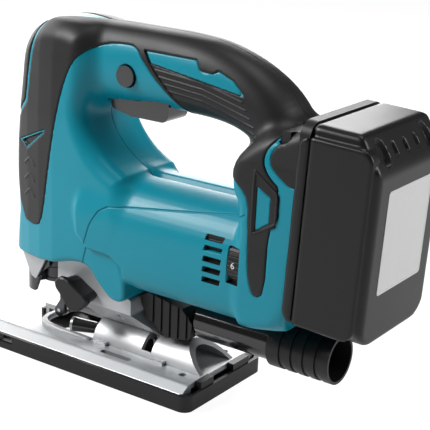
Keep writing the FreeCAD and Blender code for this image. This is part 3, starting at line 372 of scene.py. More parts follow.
# The side outlines, as (x, z), and the sections, as (y, z) or (x, half width).
TILT = math.radians(2.76)
SEAM_X = 86.1
SHOULDER_FACE = 6.3
COLUMN_SIDE = rounded([
    (-116, 57.9), (-120.6, 57.7), (-121.6, 62), (-124.5, 80), (-126, 119), (-122, 146), (-119, 163), (-117, 182),
    (-111, 194), (-101, 200.5), (-88, 203.6), (-70, 203.5), (-60, 198), (-60, 172), (-63, 157), (-60, 146), (-53, 136), (-43, 127.5),
    (-26, 119), (-26, 60), (-26, 49.9), (-36, 49.3), (-45, 57.7), (-54, 65.8), (-66, 65.8), (-84, 60.2),
])
COLUMN_WIDTHS = np.array([(-130, 11), (-125, 14), (-116, 18.5), (-106, 22.5), (-94, 26), (-82, 28.3), (-60, 29.5),
                          (-20, 30)], float)
BODY_SIDE = rounded([(-27, 56.5), (-27, 77), (-60, 78), (-62, 108), (-44, 132), (50, 132), (84, 128), (84, 62),
                     (70, 57.5), (20, 56.3)], 1)
BODY_SECTION = rounded([(0, 121), (12, 120.5), (23.5, 115.5), (31.3, 104), (33.2, 93), (33.2, 74), (30.5, 64),
                        (22, 57), (0, 56)])
REAR_SIDE = rounded([(45, 150), (44.5, 134), (51, 124), (48, 60), (60, 57.5), (84, 64), (92, 120), (94, 172),
                     (86, 173.5), (76, 167), (62, 164)])
SPINE = curve_through([(-80, 181.5, 24.0, 18.6), (-50, 183.0, 23.2, 18.3), (-30, 183.6, 22.4, 18.0),
                       (-8, 183.6, 21.8, 17.9), (14, 182.2, 20.6, 17.9), (32, 178.2, 18.8, 18.1),
                       (46, 172.0, 17.0, 18.6), (55, 164.3, 15.6, 19.4), (60, 154, 15.0, 20.8), (61, 138, 15.5, 23)], 5)
GRIP_POWER = 2.35


def handle_field(x, y, z):
    shape = np.broadcast(x, z).shape
    best = np.full(shape, 1e9)
    tall, wide = np.ones(shape), np.ones(shape)
    for (ax, az, ah, aw), (bx, bz, bh, bw) in zip(SPINE[:-1], SPINE[1:]):
        ex, ez = bx - ax, bz - az
        share = np.clip(((x - ax) * ex + (z - az) * ez) / (ex * ex + ez * ez), 0, 1)
        square = (x - ax - share * ex) ** 2 + (z - az - share * ez) ** 2
        closer = square < best
        best = np.where(closer, square, best)
        tall = np.where(closer, ah + share * (bh - ah), tall)
        wide = np.where(closer, aw + share * (bw - aw), wide)
    ring = ((np.sqrt(best) / tall) ** GRIP_POWER + (np.abs(y) / wide) ** GRIP_POWER) ** (1 / GRIP_POWER)
    return (ring - 1) * np.minimum(tall, wide)


def lean(x, z):
    """Depth behind the seam and height, both square to the leaning battery."""
    across = x - SEAM_X
    return across * math.cos(TILT) - z * math.sin(TILT), across * math.sin(TILT) + z * math.cos(TILT)


def mass_field(x, y, z):
    """The outer form of the housing, before anything is cut from it."""
    side = outline_field(x, z, COLUMN_SIDE)
    width = np.interp(np.clip(x, -130, -20), COLUMN_WIDTHS[:, 0], COLUMN_WIDTHS[:, 1])
    shrink = np.interp(z, [56, 90, 150, 185, 207], [0.0, 0, 0, 1.5, 5.0])
    soften = np.interp(z, [60, 84], [1.2, 10.0])
    column = both(side, (np.abs(y) - width + shrink) * 0.93, soften)
    body = both(outline_field(x, z, BODY_SIDE), outline_field(np.abs(y), z, BODY_SECTION), 2.0)
    rear_width = np.interp(z, [60, 120, 150, 175], [33.2, 33.2, 32.0, 26.0])
    rear = both(outline_field(x, z, REAR_SIDE), np.abs(y) - rear_width, 6.0)
    blend = np.interp(z, [74, 96], [0.8, 6.0]) + 0 * x
    whole = either(either(column, body, blend), rear, 4.0)
    whole = either(whole, handle_field(x, y, z), 9.0)
    behind = lean(x, z)[0] + SHOULDER_FACE + 0 * y
    return both(both(whole, behind, 1.2), z - 206.3 + 0 * (x + y), 4.0)


def openings_field(x, y, z):
    """What is cut right through the skin; negative inside a cut."""
    side = np.abs(y)
    low, high = node_box("trigger")
    room = 0.5
    cuts = [block_field(x, side, z, (low[0] - room, -1, 140), (high[0] + room, 9.6, 166)),
            block_field(x, side, z, (low[0] - room, -1, 164.8), (high[0] + room, 11.6, 175))]
    low, high = node_box("lock_button")
    radius = (high[0] - low[0]) / 2
    button = np.sqrt((x - (low[0] + high[0]) / 2) ** 2 + (z - (low[2] + high[2]) / 2) ** 2)
    cuts.append(button - radius - room + 0 * side)
    cuts.append(block_field(x, side, z, (-113.4, -1, 40), (-84, 13.4, 84)))
    cuts.append(block_field(x, side, z, (-85.2, -1, 40), (-62.5, 20.4, 66)))
    depth, height = lean(x, z)
    for front, back, half in ((-22.5, -5.0, 24.5), (-22.5, -16.5, 27.5)):
        cuts.append(np.maximum(np.maximum(slab(depth, front, back), side - half), 72.5 - height + 0 * y))
    whole = cuts[0]
    for cut in cuts[1:]:
        whole = np.minimum(whole, cut)
    return whole


def shell_field(x, y, z):
    return np.maximum(mass_field(x, y, z), -openings_field(x, y, z))


# ---------------------------------------------------------------- regions of the skin
SOFT_EDGE = rounded([
    (-113.5, 81), (-123.5, 121), (-140, 123), (-140, 225), (110, 225), (110, 140.5), (81.5, 141.2),
    (75.9, 144.8), (70.3, 149), (67.9, 153.7), (69.1, 158.6), (74.1, 164), (80.7, 169.6), (85.2, 171.6),
    (87, 176), (84, 173.6), (79.6, 170.2), (72.4, 166.2), (66.6, 159.7), (64.6, 154.7), (65.4, 150), (69, 144.6),
    (76, 139.5), (76.2, 120.2), (70.3, 116.6), (71, 82.4), (64.2, 77.8), (60.5, 86.5), (59, 96.7), (58, 114),
    (57.6, 129.9), (51, 136.8), (44, 141), (38, 158), (6, 156), (-1.8, 166), (-24.5, 188), (-30, 195),
    (-36, 196.5), (-52, 195), (-63, 189.5), (-70, 179), (-75, 166), (-79, 150), (-85, 122), (-91, 88), (-96, 79.5),
], 1)
ACCENT = np.array([(-24.1, 194.5), (10.2, 194), (13.0, 188.8), (21.5, 188.3), (24.6, 190.3), (35.0, 186.2),
                   (42.2, 179.6), (-19.8, 188.6)], float)
WINDOW = np.array([(62.5, 138.6), (70.7, 133.9), (70.9, 120.6), (62.6, 114.9)], float)
FLASH = np.array([(-116.2, 129.2), (-88.4, 141.2), (-89.4, 138.4), (-106.8, 125.6)], float)
FLASH_RIM = 0.8
THIN_LINE = np.array([(-97.0, 204.0), (-100.2, 196.2), (-104.3, 178.1), (-107.7, 154.5), (-117.5, 144.5),
                      (-130, 143)], float)
CREST = np.array([(-112, 10.5), (-96, 9.5), (-80, 6.5), (-63, 0.5)], float)
PANEL_SEAM = np.array([(-58.5, 64), (-56.5, 70), (-54, 79), (-49.5, 93), (-44, 102), (-38, 105.8), (-20, 108.4),
                       (20, 113.5), (49, 117.3), (56, 122)], float)
SLIT = np.array([(-24.1, 194.5), (-19.8, 188.6), (-1.8, 169.2), (6.5, 160)], float)
FRAME_RIDGE = np.array([(60.9, 146.6), (75.0, 137.2), (75.2, 121.2), (69.6, 117.6), (60.9, 112.9), (60.9, 146.6)],
                       float)
RIB_START, RIB_END = np.array([(-16.4, 185.4), (-4.5, 171.6)]), np.array([(41.5, 176.6), (52.5, 160.5)])
RIBS = [np.array([RIB_START[0] + (RIB_START[1] - RIB_START[0]) * t, (16, 182.6 - 13.0 * t),
                  RIB_END[0] + (RIB_END[1] - RIB_END[0]) * t]) for t in (0.0, 0.25, 0.5, 0.75, 1.0)]
CHEVRONS = [np.array([(-109.0, z - 4.2), (-103.9, z), (-98.8, z - 3.4)]) for z in (120.5, 110.8, 101.2)]
# Each line is its path, half width and height.
LINES = [(PANEL_SEAM, 0.5, -0.7), (SLIT, 0.8, -0.9), (FRAME_RIDGE, 0.8, 0.7)]
LINES += [(rib, 0.7, 0.45) for rib in RIBS] + [(chevron, 0.9, 0.45) for chevron in CHEVRONS]

VENT_X0, VENT_X1, VENT_Z, VENT_PITCH, VENT_TALL = 30.2, 42.0, 79.0, 5.8, 3.3
SCREW_SPOTS = [(-110, 178), (-84, 190), (12, 178), (52, 162), (-34, 57), (32, 60.5)]


def slot_level(x, z, low_x, high_x, low_z, high_z, radius):
    """Signed distance to an upright slot with rounded corners."""
    across = np.abs(x - (low_x + high_x) / 2) - (high_x - low_x) / 2 + radius
    along = np.abs(z - (low_z + high_z) / 2) - (high_z - low_z) / 2 + radius
    outside = np.sqrt(np.maximum(across, 0) ** 2 + np.maximum(along, 0) ** 2)
    return outside + np.minimum(np.maximum(across, along), 0) - radius


def vent_level(p):
    levels = [slot_level(p[:, 0] - 0.25 * (p[:, 2] - z - 1.6), p[:, 2], VENT_X0, VENT_X1, z, z + VENT_TALL, 0.7)
              for z in VENT_Z + VENT_PITCH * np.arange(5)]
    return np.maximum(np.minimum.reduce(levels), 25 - np.abs(p[:, 1]))


def dial_level(p):
    low, high = node_box("speed_dial")
    middle = (low[2] + high[2]) / 2
    level = slot_level(p[:, 0], p[:, 2], low[0] - 0.6, high[0] + 0.6, middle - 10.3, middle + 10.3, 0.8)
    return np.maximum(level, 25 + p[:, 1])


def screw_level(p):
    levels = [np.hypot(p[:, 0] - x, p[:, 2] - z) - 3.7 for x, z in SCREW_SPOTS]
    return np.maximum(np.minimum.reduce(levels), 12 - p[:, 1])


def flash_level(p):
    return outline_field(p[:, 0], p[:, 2], FLASH) + FLASH_RIM


# What is pressed into the skin: where, and how far from the middle plane its floor lies.
PRESSED = [(vent_level, 29.4), (dial_level, 26.5), (screw_level, 10.6)]


def soft_level(p):
    """Negative where the skin is soft black, positive where it is hard teal."""
    x, z = p[:, 0], p[:, 2]
    teal = outline_field(x, z, ACCENT)
    teal = np.minimum(teal, outline_field(x, z, WINDOW))
    teal = np.minimum(teal, outline_field(x, z, FLASH))
    teal = np.minimum(teal, path_field(x, z, THIN_LINE) - 1.1)
    crest = np.abs(p[:, 1]) - np.interp(x, CREST[:, 0], CREST[:, 1])
    teal = np.minimum(teal, np.maximum(np.maximum(crest, 196 - z), x + 62))
    return np.maximum(outline_field(x, z, SOFT_EDGE), -teal)


def near_detail(p, reach):
    """Whether fine detail lies within reach of a point."""
    x, z = p[:, 0], p[:, 2]
    away = np.minimum.reduce([path_field(x, z, path) for path, _, _ in LINES])
    away = np.minimum(away, np.minimum.reduce([np.abs(level(p)) for level, _ in PRESSED]))
    low, high = node_box("lock_button")
    button = np.hypot(x - (low[0] + high[0]) / 2, z - (low[2] + high[2]) / 2)
    away = np.minimum(away, np.abs(button - (high[0] - low[0]) / 2))
    away = np.minimum(away, np.abs(outline_field(x, z, FLASH)))
    return (away < reach) & (np.abs(p[:, 1]) > 9.0)


# ---------------------------------------------------------------- surface from a field
CORNERS = [(i, j, k) for i in (0, 1) for j in (0, 1) for k in (0, 1)]


def surface_net(field, low, high, step):
    """Vertices and quads of a field's zero surface, one vertex in each cell that it crosses."""
    axes = [np.arange(a, b + step, step) for a, b in zip(low, high)]
    x, y, z = axes[0][:, None, None], axes[1][None, :, None], axes[2][None, None, :]
    values = np.broadcast_to(field(x, y, z), [len(a) for a in axes])
    inside = values < 0
    total = np.zeros([len(a) - 1 for a in axes], int)
    for i, j, k in CORNERS:
        total += inside[i:i + total.shape[0], j:j + total.shape[1], k:k + total.shape[2]]
    cell = np.argwhere((total > 0) & (total < 8))
    number = -np.ones(total.shape, int)
    number[tuple(cell.T)] = np.arange(len(cell))
    sums, counts = np.zeros((len(cell), 3)), np.zeros(len(cell))
    for a in CORNERS:
        for axis in range(3):
            if a[axis]:
                continue
            b = tuple(a[n] + (n == axis) for n in range(3))
            va, vb = values[tuple((cell + a).T)], values[tuple((cell + b).T)]
            crosses = (va < 0) != (vb < 0)
            share = np.where(crosses, va / np.where(crosses, va - vb, 1), 0)
            spot = np.array(a, float)[None] + np.eye(3)[axis][None] * share[:, None]
            sums += spot * crosses[:, None]
            counts += crosses
    points = (cell + sums / counts[:, None]) * step + np.array([a[0] for a in axes])
    quads = []
    for axis in range(3):
        u, v = (axis + 1) % 3, (axis + 2) % 3
        first = np.moveaxis(inside, axis, 0)
        edge = np.argwhere(np.moveaxis(first[:-1] != first[1:], 0, axis))
        good = (edge[:, u] > 0) & (edge[:, v] > 0)
        edge = edge[good & (edge[:, u] < total.shape[u]) & (edge[:, v] < total.shape[v])]
        ring = []
        for du, dv in ((-1, -1), (0, -1), (0, 0), (-1, 0)):
            spot = edge.copy()
            spot[:, u] += du
            spot[:, v] += dv
            ring.append(number[tuple(spot.T)])
        ring = np.stack(ring, 1)
        flip = ~inside[tuple(edge.T)]
        ring[flip] = ring[flip][:, ::-1]
        quads.append(ring)
    return points, np.concatenate(quads)


def slope(field, points):
    reach = 0.15
    parts = []
    for axis in range(3):
        step = np.eye(3)[axis] * reach
        parts.append((field(*(points + step).T) - field(*(points - step).T)) / (2 * reach))
    return np.stack(parts, 1)


def settle(field, points, times, limit=0.6):
    """Moves points on to a field's zero surface."""
    for _ in range(times):
        away = slope(field, points)
        size = np.maximum((away ** 2).sum(1), 0.2)
        move = -(field(*points.T) / size)[:, None] * away
        length = np.linalg.norm(move, axis=1, keepdims=True)
        points = points + move * np.minimum(1, limit / np.maximum(length, 1e-9))
    return points


def even_out(points, quads, times, weight=0.5):
    """Slides points towards the middle of their neighbours."""
    edges = np.concatenate([quads[:, [a, (a + 1) % 4]] for a in range(4)])
    pairs = np.concatenate([edges, edges[:, ::-1]])
    count = np.maximum(np.bincount(pairs[:, 0], minlength=len(points)), 1)[:, None]
    for _ in range(times):
        total = [np.bincount(pairs[:, 0], points[pairs[:, 1], a], len(points)) for a in range(3)]
        points = points + (np.stack(total, 1) / count - points) * weight
    return points


def net_of(field, low, high, step):
    points, quads = surface_net(field, low, high, step)
    points = even_out(settle(field, points, 2), quads, 2)
    return settle(field, points, 3), [tuple(q) for q in quads.tolist()]


def refine(points, faces, chosen):
    """Splits the chosen faces into quads; their neighbours take the new edge points."""
    fresh, middle, out = [], {}, []
    for n in np.nonzero(chosen)[0]:
        face = faces[n]
        for here, there in zip(face, face[1:] + face[:1]):
            key = (min(here, there), max(here, there))
            if key not in middle:
                middle[key] = len(points) + len(fresh)
                fresh.append((points[here] + points[there]) / 2)
    for face, split in zip(faces, chosen.tolist()):
        ring = []
        for here, there in zip(face, face[1:] + face[:1]):
            ring.append(here)
            half = middle.get((min(here, there), max(here, there)))
            if half is not None:
                ring.append(half)
        if not split:
            out.append(tuple(ring))
            continue
        centre = len(points) + len(fresh)
        fresh.append(points[list(face)].mean(0))
        out += [(centre, ring[k - 1], ring[k], ring[(k + 1) % len(ring)]) for k in range(0, len(ring), 2)]
    return np.concatenate([points, np.array(fresh)]), out


def cut_along(points, faces, level_of, near=0.1):
    """Splits faces where level_of(points) changes sign. Returns the new points and faces."""
    value = level_of(points)
    value = np.where(np.abs(value) < near, 0.0, value)
    sign = np.sign(value).astype(int).tolist()
    fresh, made, out = [], {}, []
    for face in faces:
        signs = [sign[n] for n in face]
        if max(signs) <= 0 or min(signs) >= 0:
            out.append(face)
            continue
        halves = ([], [])
        for here, there in zip(face, face[1:] + face[:1]):
            if sign[here] >= 0:
                halves[0].append(here)
            if sign[here] <= 0:
                halves[1].append(here)
            if sign[here] * sign[there] < 0:
                key = (min(here, there), max(here, there))
                if key not in made:
                    share = value[key[0]] / (value[key[0]] - value[key[1]])
                    made[key] = len(points) + len(fresh)
                    fresh.append(points[key[0]] + (points[key[1]] - points[key[0]]) * share)
                halves[0].append(made[key])
                halves[1].append(made[key])
        out += [tuple(half) for half in halves if len(half) > 2]
    if fresh:
        points = np.concatenate([points, np.array(fresh)])
    return points, out


def mesh_piece(name, points, faces, finish, body, slot):
    """A smooth-shaded object from points in millimetres, with only the points its faces use."""
    used = sorted({n for face in faces for n in face})
    place = {n: k for k, n in enumerate(used)}
    mesh = bpy.data.meshes.new(name)
    mesh.from_pydata((points[used] * MM).tolist(), [], [[place[n] for n in face] for face in faces])
    mesh.validate()
    piece = bpy.data.objects.new(name, mesh)
    bpy.context.collection.objects.link(piece)
    mesh.shade_smooth()
    mesh.materials.append(bpy.data.materials[finish + "_finish"])
    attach(piece, body)
    return piece


def loft(rings):
    """Points and faces of a closed body through equal rings, capped at both ends."""
    count = len(rings[0])
    faces = [(r * count + k, r * count + (k + 1) % count, (r + 1) * count + (k + 1) % count, (r + 1) * count + k)
             for r in range(len(rings) - 1) for k in range(count)]
    last = (len(rings) - 1) * count
    return np.array(rings).reshape(-1, 3), faces + [tuple(reversed(range(count))), tuple(range(last, last + count))]


def ease(share):
    """A rounded edge: 0 at 0 and 1 at 1, steep first."""
    return np.sqrt(np.maximum(0, 1 - (1 - np.clip(share, 0, 1)) ** 2))


# ---------------------------------------------------------------- housing
def build_housing():
    """The two shells and their soft covering, cut apart along the real seams."""
    mine = look()
    step = mine.net_step / MM
    rise, depth = mine.soft_rise / MM, mine.seam_depth / MM
    points, faces = net_of(shell_field, (-131.0, -36.5, 38.0), (96.0, 36.5, 211.0), step)
    for reach in ((2.2, 1.0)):
        centres = np.array([points[list(face)].mean(0) for face in faces])
        points, faces = refine(points, faces, near_detail(centres, reach))
        points = settle(shell_field, points, 2)
    edge_run, hard_run, middle_run = 0.9, 0.45, 0.4
    cuts = [lambda p: p[:, 1].copy(), lambda p: p[:, 1] - middle_run, lambda p: p[:, 1] + middle_run]
    cuts += [lambda p, a=a: soft_level(p) + a for a in (0.0, 0.35, edge_run, -hard_run)]
    cuts.append(flash_level)
    for path, half, _ in LINES:
        cuts += [lambda p, q=path, a=a: path_field(p[:, 0], p[:, 2], q) - a for a in (half, half * 0.35)]
    for level, _ in PRESSED:
        cuts += [level, lambda p, q=level: q(p) + 0.22]
    for cut in cuts:
        points, faces = cut_along(points, faces, cut)
    near_skin = np.abs(mass_field(*points.T)) < 0.8
    points = np.where(near_skin[:, None], settle(mass_field, points, 2, 0.2), points)

    on_skin = np.abs(mass_field(*points.T)) < 0.3
    normal = slope(mass_field, points)
    normal /= np.maximum(np.linalg.norm(normal, axis=1, keepdims=True), 1e-6)
    field = soft_level(points)
    height = np.where(field < 0, -depth + (depth + rise) * ease(-field / edge_run),
                      -depth * (1 - ease(field / hard_run)))
    for path, half, lift in LINES:
        away = path_field(points[:, 0], points[:, 2], path)
        height = height + lift * np.clip((half - away) / (0.65 * half), 0, 1)
    height = height - 1.3 * depth * np.clip(1 - np.abs(points[:, 1]) / middle_run, 0, 1)
    height = height - 1.6 * (flash_level(points) < -0.05)
    raised = points + normal * (height * on_skin)[:, None]
    for level, floor in PRESSED:
        pressed = on_skin & (level(points) < -0.15)
        raised[pressed, 1] = np.sign(points[pressed, 1]) * floor

    centres = np.array([points[list(face)].mean(0) for face in faces])
    skin = np.abs(mass_field(*centres.T)) < 0.6
    soft = (soft_level(centres) < 0) & skin
    # Black plastic on the walls of openings and on the floors of vents and screw holes is painted shade; the flash's
    # middle is the tool's own black, and the dial's surround is black too.
    painted_shade_and_black = ~skin | (flash_level(centres) < 0)
    for level, _ in PRESSED:
        painted_shade_and_black |= level(centres) < -0.1
    left = centres[:, 1] < 0
    for side, mask in (("left", left), ("right", ~left)):
        for kind, chosen, finish in (("housing", ~soft & ~painted_shade_and_black, "teal_plastic"),
                                     ("grip", soft & ~painted_shade_and_black, "black_rubber"),
                                     ("painted_shade_and_black", painted_shade_and_black, "black_plastic")):
            picked = [faces[n] for n in np.nonzero(mask & chosen)[0]]
            piece = mesh_piece(f"{side}_{kind}_skin", raised, picked, finish, "tool",
                               "black_rubber" if kind == "grip" else "teal_plastic")
            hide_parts(f"{side}_{'grip' if kind == 'grip' else 'housing'}")


# ---------------------------------------------------------------- battery
PACK_LOW, PACK_HIGH, PACK_DEEP, CASE_HALF, PANEL_HALF = 67.4, 177.8, 39.2, 36.0, 37.9
SLOPE_START, SLOPE_NORMAL = (39.2, 160.0), (0.807, 0.591)
HOLES = [(-23.5, 4.3, 8.0), (-11.5, 1.7, 4.4), (0.0, 1.7, 4.4), (11.5, 1.7, 4.4), (23.5, 4.3, 8.0)]
SLOPE_MIDDLE = 10.5


def slope_value(depth, height):
    return (depth - SLOPE_START[0]) * SLOPE_NORMAL[0] + (height - SLOPE_START[1]) * SLOPE_NORMAL[1]


def panel_field(depth, side, height, front, back):
    outline = slot_level(depth, height, front, back, 71.8, 171.5, 7.0)
    return np.maximum(both(outline, side - PANEL_HALF, 0.9), 30 - side)


def case_field(x, y, z):
    """The battery's lower case: a leaning block with round lower corners and raised side panels."""
    depth, height = lean(x, z)
    side = np.abs(y)
    profile = both(slab(depth, 0.25, PACK_DEEP), slab(height, PACK_LOW, PACK_HIGH), 2.5)
    profile = both(profile, slope_value(depth, height), 2.0)
    ends = both(side - CASE_HALF, PACK_LOW - height + 0 * y, look().corner / MM)
    block = both(both(profile, ends, 2.5), both(side - CASE_HALF, height - PACK_HIGH, 5.0), 1.0)
    rear_corner = both(side - CASE_HALF, depth - PACK_DEEP, 4.0)
    block = np.maximum(block, rear_corner)
    panel = both(panel_field(depth, side, height, -7.0, 35.6), 0.25 - depth, 1.0)
    return np.minimum(block, panel)


def shoulder_field(x, y, z):
    """The front part of the side panels, on the upper case."""
    depth, height = lean(x, z)
    side = np.abs(y)
    return both(panel_field(depth, side, height, -6.0, 20.0), depth + 0.3, 1.0)


def hole_level(p):
    depth, height = lean(p[:, 0], p[:, 2])
    along = -(depth - SLOPE_START[0]) * SLOPE_NORMAL[1] + (height - SLOPE_START[1]) * SLOPE_NORMAL[0]
    levels = [(np.hypot((p[:, 1] - y) / wide, (along - SLOPE_MIDDLE) / tall) - 1) * wide for y, wide, tall in HOLES]
    return np.maximum(np.minimum.reduce(levels), np.abs(slope_value(depth, height)) - 1.0)


def build_battery():
    """The lower case with its holes, the shoulder panels and the bare label plate."""
    step = look().net_step / MM
    points, faces = net_of(case_field, (82.0, -39.5, 62.0), (140.0, 39.5, 184.0), step)
    for cut in (hole_level, lambda p: hole_level(p) + 0.3):
        points, faces = cut_along(points, faces, cut)
    normal = slope(case_field, points)
    normal /= np.maximum(np.linalg.norm(normal, axis=1, keepdims=True), 1e-6)
    points = points - normal * (2.6 * (hole_level(points) < -0.2))[:, None]
    piece = mesh_piece("battery_case_skin", points, faces, "battery_grey", "battery", "battery_grey")
    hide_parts("battery_lower_case")
    points, faces = net_of(shoulder_field, (78.0, -39.5, 66.0), (98.0, 39.5, 176.0), step)
    mesh_piece("battery_shoulder_skin", points, faces, "battery_grey", "battery", "battery_grey")

    half, low, high, round_off, thick = 23.7, 95.0, 150.0, 2.0, 0.25
    ring = []
    for y, v, start in ((half, high, 0), (-half, high, 90), (-half, low, 180), (half, low, 270)):
        for k in range(5):
            turn = math.radians(start + 22.5 * k)
            ring.append((y - math.copysign(round_off, y) + round_off * math.cos(turn),
                         v - math.copysign(round_off, v - 120) + round_off * math.sin(turn)))
    rings = []
    for lift, inset in ((-0.4, 1.0), (thick - 0.1, 1.0), (thick, 0.99), (thick, 0.955), (thick - 0.15, 0.945),
                        (thick - 0.15, 0.5)):
        rings.append([])
        for y, v in ring:
            depth, height = PACK_DEEP + lift, 122.5 + (v - 122.5) * inset
            x = SEAM_X + depth * math.cos(TILT) + height * math.sin(TILT)
            rings[-1].append((x, y * inset, height * math.cos(TILT) - depth * math.sin(TILT)))
    points, faces = loft(rings)
    plate = mesh_piece("battery_label_plate", points, faces, "label_plate", "battery", "battery_grey")
    plate.data.shade_flat()


# ---------------------------------------------------------------- small pieces
def build_dial_numbers():
    """Raised plain numbers round the speed dial."""
    low, high = node_box("speed_dial")
    middle = (low + high) / 2
    radius = (high[2] - low[2]) / 2
    for number in range(1, 7):
        curve = bpy.data.curves.new(f"number_{number}", "FONT")
        curve.body = str(number)
        curve.size = 5.2 * MM
        curve.extrude = 0.12 * MM
        curve.align_x, curve.align_y = "CENTER", "CENTER"
        shape = bpy.data.objects.new(f"number_shape_{number}", curve)
        bpy.context.collection.objects.link(shape)
        bpy.context.view_layer.update()
        mesh = bpy.data.meshes.new_from_object(shape.evaluated_get(bpy.context.evaluated_depsgraph_get()))
        bpy.data.objects.remove(shape)
        turn = math.radians(50.0 * (number - 6))
        points = np.array([v.co for v in mesh.vertices]) / MM
        angle = turn + points[:, 1] / radius
        reach = radius + 0.02 + points[:, 2]
        spots = np.stack([middle[0] + points[:, 0], middle[1] - reach * np.cos(angle),
                          middle[2] + reach * np.sin(angle)], 1)
        faces = [tuple(polygon.vertices) for polygon in mesh.polygons]
        mesh_piece(f"dial_number_{number}", spots, faces, "number_white", "speed_dial", "black_plastic")


def build_base_details():
    """The raised rim round the blade opening of the base."""
    plate_top = 13.4
    path = [(-61, -17.0), (-78, -18.6), (-93, -18.2), (-100.5, -14.5), (-103, -8.0), (-103, 0.0), (-103, 8.0),
            (-100.5, 14.5), (-93, 18.2), (-78, 18.6), (-61, 17.0)]
    path = curve_through(path, 6)
    ahead = np.gradient(path, axis=0)
    ahead /= np.linalg.norm(ahead, axis=1, keepdims=True)
    across = np.stack([-ahead[:, 1], ahead[:, 0]], 1)
    heights = np.interp(path[:, 0], [-103, -90, -70, -61], [2.6, 2.4, 1.6, 0.6])
    section = [(-1.8, -0.3), (-1.8, 0.8), (-1.5, 0.95), (-1.1, 1.0), (1.1, 1.0), (1.5, 0.95), (1.8, 0.8), (1.8, -0.3)]
    rings = [[(spot[0] + normal[0] * out, spot[1] + normal[1] * out, plate_top + up * tall) for out, up in section]
             for spot, normal, tall in zip(path, across, heights)]
    points, faces = loft(rings)
    mesh_piece("blade_opening_rim", points, faces, "cast_alloy", "base", "plate_alloy")


LEVER_HEAD = rounded([(-77.5, 50.0), (-74.0, 55.4), (-68.0, 55.6), (-60.2, 51.0), (-51.4, 46.6), (-51.0, 43.0),
                      (-59.0, 36.2), (-65.6, 36.4), (-70.5, 43.0)], 1)


def build_lever():
    """The grip of the orbit selector, a chunky faceted head on the shaft."""
    low, high = node_box("orbital_lever")
    middle = LEVER_HEAD.mean(0)
    rings = []
    for y, inset in ((high[1], 0.80), (low[1] + 4.0, 0.86), (low[1] + 3.2, 1.0), (low[1] + 0.8, 1.0),
                     (low[1], 0.90)):
        rings.append([(middle[0] + (x - middle[0]) * inset, y, middle[1] + (z - middle[1]) * inset)
                      for x, z in LEVER_HEAD])
    points, faces = loft(rings)
    piece = mesh_piece("orbital_lever_grip", points, faces, "black_plastic", "orbital_lever", "black_plastic")
    piece.data.shade_flat()
    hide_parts("orbital_lever")


# ---------------------------------------------------------------- stage
ROOM_GLOW = 0.10


def build_stage():
    """A pale floor, a white room that only the camera sees, five soft lamps and the camera."""
    scene = bpy.context.scene
    world = bpy.data.worlds.new("studio")
    scene.world = world
    world.use_nodes = True
    sky = Graph(world.node_tree)
    seen = sky.add("ShaderNodeLightPath", out="Is Camera Ray") + sky.add("ShaderNodeLightPath",
                                                                         out="Is Transmission Ray")
    backdrop = sky.tree.nodes["Background"]
    sky.join((1.0, 1.0, 1.0, 1.0), backdrop.inputs["Color"])
    sky.join(seen.ramp(0.0, 1.0) * (1.0 - ROOM_GLOW) + ROOM_GLOW, backdrop.inputs["Strength"])

    reach = 8.0
    mesh = bpy.data.meshes.new("floor")
    mesh.from_pydata([(-reach, -reach, 0), (reach, -reach, 0), (reach, reach, 0), (-reach, reach, 0)], [],
                     [(0, 1, 2, 3)])
    floor = bpy.data.objects.new("floor", mesh)
    bpy.context.collection.objects.link(floor)
    floor.location.z = -0.0004
    shader = Shader("floor", Roughness=0.9, Base_Color=(0.60, 0.60, 0.60, 1.0))
    glow = shader.add("ShaderNodeEmission", {}, {"Color": (1.0, 1.0, 1.0, 1.0), "Strength": 1.3})
    seen = shader.add("ShaderNodeLightPath", out="Is Camera Ray") * 0.72
    seen = seen + shader.add("ShaderNodeLightPath", out="Is Glossy Ray") * 0.3
    blend = shader.add("ShaderNodeMixShader", {}, {0: seen, 1: Socket(shader, shader.surface.outputs[0]), 2: glow})
    shader.join(blend, shader.tree.nodes["Material Output"].inputs["Surface"])
    mesh.materials.append(shader.material)

    key = look().key_power
    lamps = (
        ("key", (-0.80, -0.72, 0.95), (-0.04, 0.0, 0.12), 0.5, key * 1.2),
        ("right", (1.05, 0.42, 0.62), (0.10, 0.0, 0.11), 0.7, key * 0.6),
        ("rim", (-0.80, 1.05, 0.50), (0.0, 0.0, 0.12), 0.8, key * 0.7),
        ("left", (-1.20, 0.20, 0.45), (-0.05, 0.0, 0.12), 0.8, key * 0.5),
        ("top", (0.10, 0.15, 1.2), (0.0, 0.0, 0.10), 0.5, key * 0.2),
    )
    for name, place, aim, size, power in lamps:
        light = bpy.data.lights.new(name, "AREA")
        light.size = size
        light.energy = power
        lamp = bpy.data.objects.new(name, light)
        bpy.context.collection.objects.link(lamp)
        lamp.location = place
        lamp.rotation_euler = (Vector(aim) - Vector(place)).to_track_quat("-Z", "Y").to_euler()

    centre = (Vector(CAD_LOW) + Vector(CAD_HIGH)) / 2
    aim = centre + Vector((14.66, 0.0, 1.5)) * MM
    azimuth, elevation, roll = (math.radians(a) for a in (34.41, 18.03, 2.28))
    distance = 0.69254
    away = Vector((math.sin(azimuth) * math.cos(elevation), -math.cos(azimuth) * math.cos(elevation),
                   math.sin(elevation)))
    right = Vector((0, 0, 1)).cross(away).normalized()
    up = away.cross(right)
    turned_right = right * math.cos(roll) + up * math.sin(roll)
    turned_up = up * math.cos(roll) - right * math.sin(roll)
    lens = bpy.data.cameras.new("camera")
    lens.sensor_width = 36.0
    lens.lens = 103.62
    camera = bpy.data.objects.new("camera", lens)
    bpy.context.collection.objects.link(camera)
    turn = Matrix((turned_right, turned_up, away)).transposed().to_4x4()
    camera.matrix_world = Matrix.Translation(aim + away * distance) @ turn
    scene.camera = camera
    scene.view_settings.view_transform = "Standard"


# ---------------------------------------------------------------- operators, panel and run
class JIGSAW_OT_finishes(bpy.types.Operator):
    """Make every finish and give each CAD node its own"""

    bl_idname = "jigsaw.finishes"
    bl_label = "Finishes"

    def execute(self, context):
        make_finishes()
        dress_nodes()
        return {"FINISHED"}


